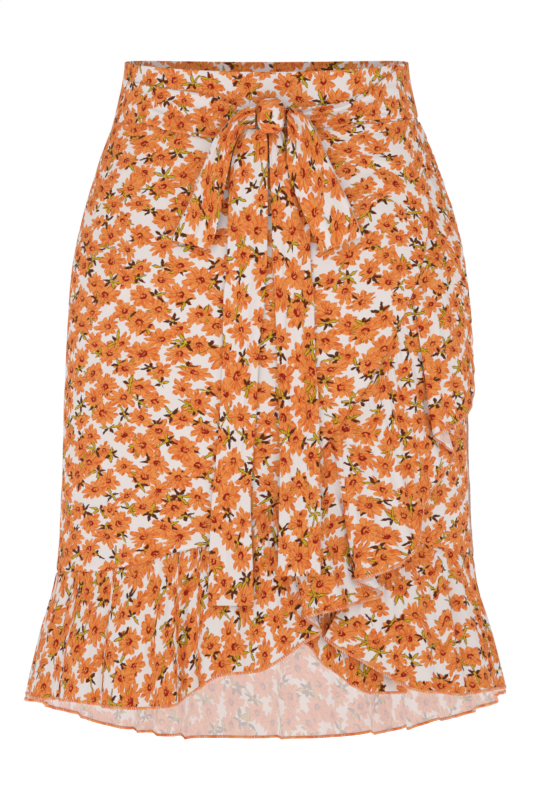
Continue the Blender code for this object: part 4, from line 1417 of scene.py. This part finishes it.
def loop_points(lines, rows, count, seed):
    """A loop of the bow: down in front, round its end and up behind."""
    at = np.linspace(0, len(lines) - 1, rows)
    line = follow(lines, at)
    share = np.linspace(0, 1, count)[None, :]
    along = (at / at[-1])[:, None]
    folds = 0.0021 * waves(share + 0.05 * np.sin(4 * along + seed), 0.30, seed) * (1 - 0.65 * along)
    edges = np.clip(np.minimum(share, 1 - share) / 0.08, 0, 1)
    folds = folds * edges - 0.0010 * (1 - edges) * (1 - along * 0.6)
    aside = share - LOOP_FOLD
    folds = folds - 0.0024 * np.tanh(aside / 0.03) * np.exp(-np.abs(aside) / 0.2) * (1 - along)
    front = line_points(line, count, line.out, folds)
    back = line_points(line, count, line.out - LOOP_GAP, folds * 0.6)
    end = lines[-1]
    turn = np.linspace(0, np.pi, 9)[1:-1]
    nose = Line(
        np.full(turn.shape, end.left), end.left_depth + LOOP_NOSE * np.sin(turn),
        np.full(turn.shape, end.right), end.right_depth + LOOP_NOSE * np.sin(turn),
        end.out - LOOP_GAP / 2 + np.cos(turn) * LOOP_GAP / 2,
    )
    middle = line_points(nose, count, nose.out, folds[-1:] * 0.8)
    return np.concatenate([front, middle, back[::-1]])


# A fold down a tail: how far across it is and from where to where, as shares, and how far out
TailFold = namedtuple("TailFold", "across top bottom width rise")
TAIL_LEFT_FOLDS = [TailFold(0.72, 0.0, 0.9, 0.05, -0.0012), TailFold(0.40, 0.1, 1.1, 0.07, 0.0012)]
TAIL_RIGHT_FOLDS = [TailFold(0.30, 0.0, 0.9, 0.05, -0.0011), TailFold(0.62, 0.1, 1.1, 0.08, 0.0013)]


def tail_points(lines, rows, count, seed, tail_folds):
    """A hanging end of the belt, with soft lengthwise folds."""
    at = np.linspace(0, len(lines) - 1, rows)
    line = follow(lines, at)
    share = np.linspace(0, 1, count)[None, :]
    along = (at / at[-1])[:, None]
    folds = 0.0011 * waves(share + 0.06 * np.sin(5 * along + seed), 0.42, seed) * (1 - 0.5 * along)
    edges = np.clip(np.minimum(share, 1 - share) / 0.06, 0, 1)
    folds = folds * edges
    for fold in tail_folds:
        fade = np.clip((along - fold.top) / 0.1, 0, 1) * np.clip((fold.bottom - along) / 0.1, 0, 1)
        folds = folds + fold.rise * bell(share - fold.across, fold.width) * fade
    return line_points(line, count, line.out, folds)


class SKIRT_OT_bow(bpy.types.Operator):
    """Tie the bow: its knot and its two loops"""

    bl_idname = "skirt.bow"
    bl_label = "Bow"

    def execute(self, context):
        for name, lines, seed, start in (
            ("bow_loop_left", LOOP_LEFT, 91, (0.41, 0.29)),
            ("bow_loop_right", LOOP_RIGHT, 95, (0.72, 0.68)),
        ):
            points = loop_points(lines, 90, 44, seed)
            belt_piece(name, points, PRINT_TALL, start)
        points = knot_points(70, 90)
        belt_piece("bow_knot", points, PRINT_PLAIN, (0.36, 0.52))
        return {"FINISHED"}


def knot_points(rows, columns):
    """The band that goes round the knot: a squared bulge with folds that run up it."""
    lean = np.linspace(0.06, np.pi - 0.06, rows)[:, None]
    turn = np.linspace(-0.62 * np.pi, 0.62 * np.pi, columns)[None, :]

    def squared(value, power):
        return np.sign(value) * np.abs(value) ** power

    fold = 0.06 * np.sin(3.0 * turn + 1.6 * np.cos(lean))
    fold = fold + 0.05 * np.sin(7 * turn - 2 * np.cos(lean))
    girth = squared(np.sin(lean), 0.6)
    across = KNOT_CENTRE[0] + KNOT_HALF_WIDTH * girth * squared(np.sin(turn), 0.75)
    depth = KNOT_CENTRE[1] - KNOT_HALF_HEIGHT * squared(np.cos(lean), 0.85) + 0 * turn
    out = KNOT_OUT + KNOT_HALF_DEPTH * girth * (squared(np.cos(turn), 0.8) + fold * girth)
    return on_form(angle_of(across, depth, out), depth, out)


class SKIRT_OT_tails(bpy.types.Operator):
    """Hang the two ends of the belt"""

    bl_idname = "skirt.tails"
    bl_label = "Tails"

    def execute(self, context):
        for name, lines, seed, start, tail_folds in (
            ("sash_tail_left", TAIL_LEFT, 101, (0.15, 0.77), TAIL_LEFT_FOLDS),
            ("sash_tail_right", TAIL_RIGHT, 105, (0.88, 0.19), TAIL_RIGHT_FOLDS),
        ):
            points = tail_points(lines, 260, 40, seed, tail_folds)
            belt_piece(name, points, PRINT_TALL, start)
        return {"FINISHED"}


# --- Studio ---------------------------------------------------------------------------------

FLOOR_DEPTH = 1.02  # a wearer's waist is about this far above the floor
FLOOR_RADIUS = 9.0


def area_lamp(name, power, size, place, aim):
    """A soft square lamp that looks at a point."""
    lamp = bpy.data.lights.new(name, "AREA")
    lamp.energy = power
    lamp.size = size
    holder = bpy.data.objects.new(name, lamp)
    holder.location = place
    direction = np.array(aim) - np.array(place)
    holder.rotation_euler = (
        math.atan2(math.hypot(direction[0], direction[1]), -direction[2]),
        0.0,
        math.atan2(-direction[0], direction[1]),
    )
    bpy.context.scene.collection.objects.link(holder)


class SKIRT_OT_studio(bpy.types.Operator):
    """Set up the camera, the pale floor and soft studio light"""

    bl_idname = "skirt.studio"
    bl_label = "Studio"

    def execute(self, context):
        studio = context.scene.skirt_studio
        context.scene.view_settings.view_transform = "Standard"
        bpy.ops.mesh.primitive_circle_add(
            vertices=96, radius=FLOOR_RADIUS, fill_type="NGON", location=(0, 0, -FLOOR_DEPTH)
        )
        floor = context.object
        floor.name = "studio_floor"
        floor.data.materials.append(self.floor_material())

        world = bpy.data.worlds.new("Studio")
        world.use_nodes = True
        w = Wiring(world.node_tree)
        seen = w.node("ShaderNodeLightPath").outputs["Is Camera Ray"]
        sky = world.node_tree.nodes["Background"]
        sky.inputs["Color"].default_value = (1, 1, 1, 1)
        w.feed(sky.inputs["Strength"], w.math("MAXIMUM", seen, studio.room_light))
        context.scene.world = world

        middle = (0.0, 0.0, studio.camera_height)
        area_lamp("key", studio.key_power, 2.2, (-2.2, -3.4, 1.7), middle)
        area_lamp("fill", studio.key_power * 0.42, 2.6, (2.8, -3.2, 0.5), middle)
        area_lamp("top", studio.key_power * 0.26, 1.0, (0.0, -1.5, 1.6), (0.0, 0.05, -0.05))
        area_lamp("rim", studio.key_power * 0.4, 2.0, (0.6, 3.6, 1.6), middle)

        camera = bpy.data.cameras.new("camera")
        camera.sensor_width = 36.0
        camera.lens = camera.sensor_width * studio.camera_distance / studio.view_height
        camera.clip_end = 60.0
        holder = bpy.data.objects.new("camera", camera)
        holder.location = (0.0, -studio.camera_distance, studio.camera_height)
        holder.rotation_euler = (math.pi / 2, 0.0, 0.0)
        context.scene.collection.objects.link(holder)
        context.scene.camera = holder
        return {"FINISHED"}

    def floor_material(self):
        material, w, shader = start_material("studio_floor", 0.9, 0.0)
        grain = w.noise(w.node("ShaderNodeTexCoord").outputs["Object"], 3.0)["Fac"]
        base = w.mix(grain, (0.80, 0.80, 0.80, 1), (0.84, 0.84, 0.84, 1))
        w.feed(shader.inputs["Base Color"], base)
        shader.inputs["Emission Color"].default_value = (1, 1, 1, 1)
        shader.inputs["Emission Strength"].default_value = 0.75
        return material


class SKIRT_PT_panel(bpy.types.Panel):
    """The steps of building the skirt, in order"""

    bl_idname = "SKIRT_PT_panel"
    bl_label = "Wrap Skirt"
    bl_space_type = "VIEW_3D"
    bl_region_type = "UI"
    bl_category = "Wrap Skirt"

    def draw(self, context):
        scene = context.scene
        for settings in (scene.skirt_print, scene.skirt_cloth, scene.skirt_studio):
            box = self.layout.box()
            for name in settings.__annotations__:
                box.prop(settings, name)
        for step in STEPS:
            self.layout.operator(step.bl_idname)


STEPS = (
    SKIRT_OT_waistband,
    SKIRT_OT_panels,
    SKIRT_OT_ruffles,
    SKIRT_OT_sash,
    SKIRT_OT_bow,
    SKIRT_OT_tails,
    SKIRT_OT_studio,
)
SETTINGS = (SkirtPrint, SkirtCloth, SkirtStudio)


def register():
    for part in SETTINGS + STEPS + (SKIRT_PT_panel,):
        bpy.utils.register_class(part)
    bpy.types.Scene.skirt_print = PointerProperty(type=SkirtPrint)
    bpy.types.Scene.skirt_cloth = PointerProperty(type=SkirtCloth)
    bpy.types.Scene.skirt_studio = PointerProperty(type=SkirtStudio)


def unregister():
    del bpy.types.Scene.skirt_studio
    del bpy.types.Scene.skirt_cloth
    del bpy.types.Scene.skirt_print
    for part in reversed(SETTINGS + STEPS + (SKIRT_PT_panel,)):
        bpy.utils.unregister_class(part)


def main():
    """Builds every piece in order."""
    register()
    bpy.ops.object.select_all(action="DESELECT")
    bpy.ops.skirt.waistband()
    bpy.ops.skirt.panels()
    bpy.ops.skirt.ruffles()
    bpy.ops.skirt.sash()
    bpy.ops.skirt.bow()
    bpy.ops.skirt.tails()
    bpy.ops.skirt.studio()


if __name__ == "__main__":
    main()
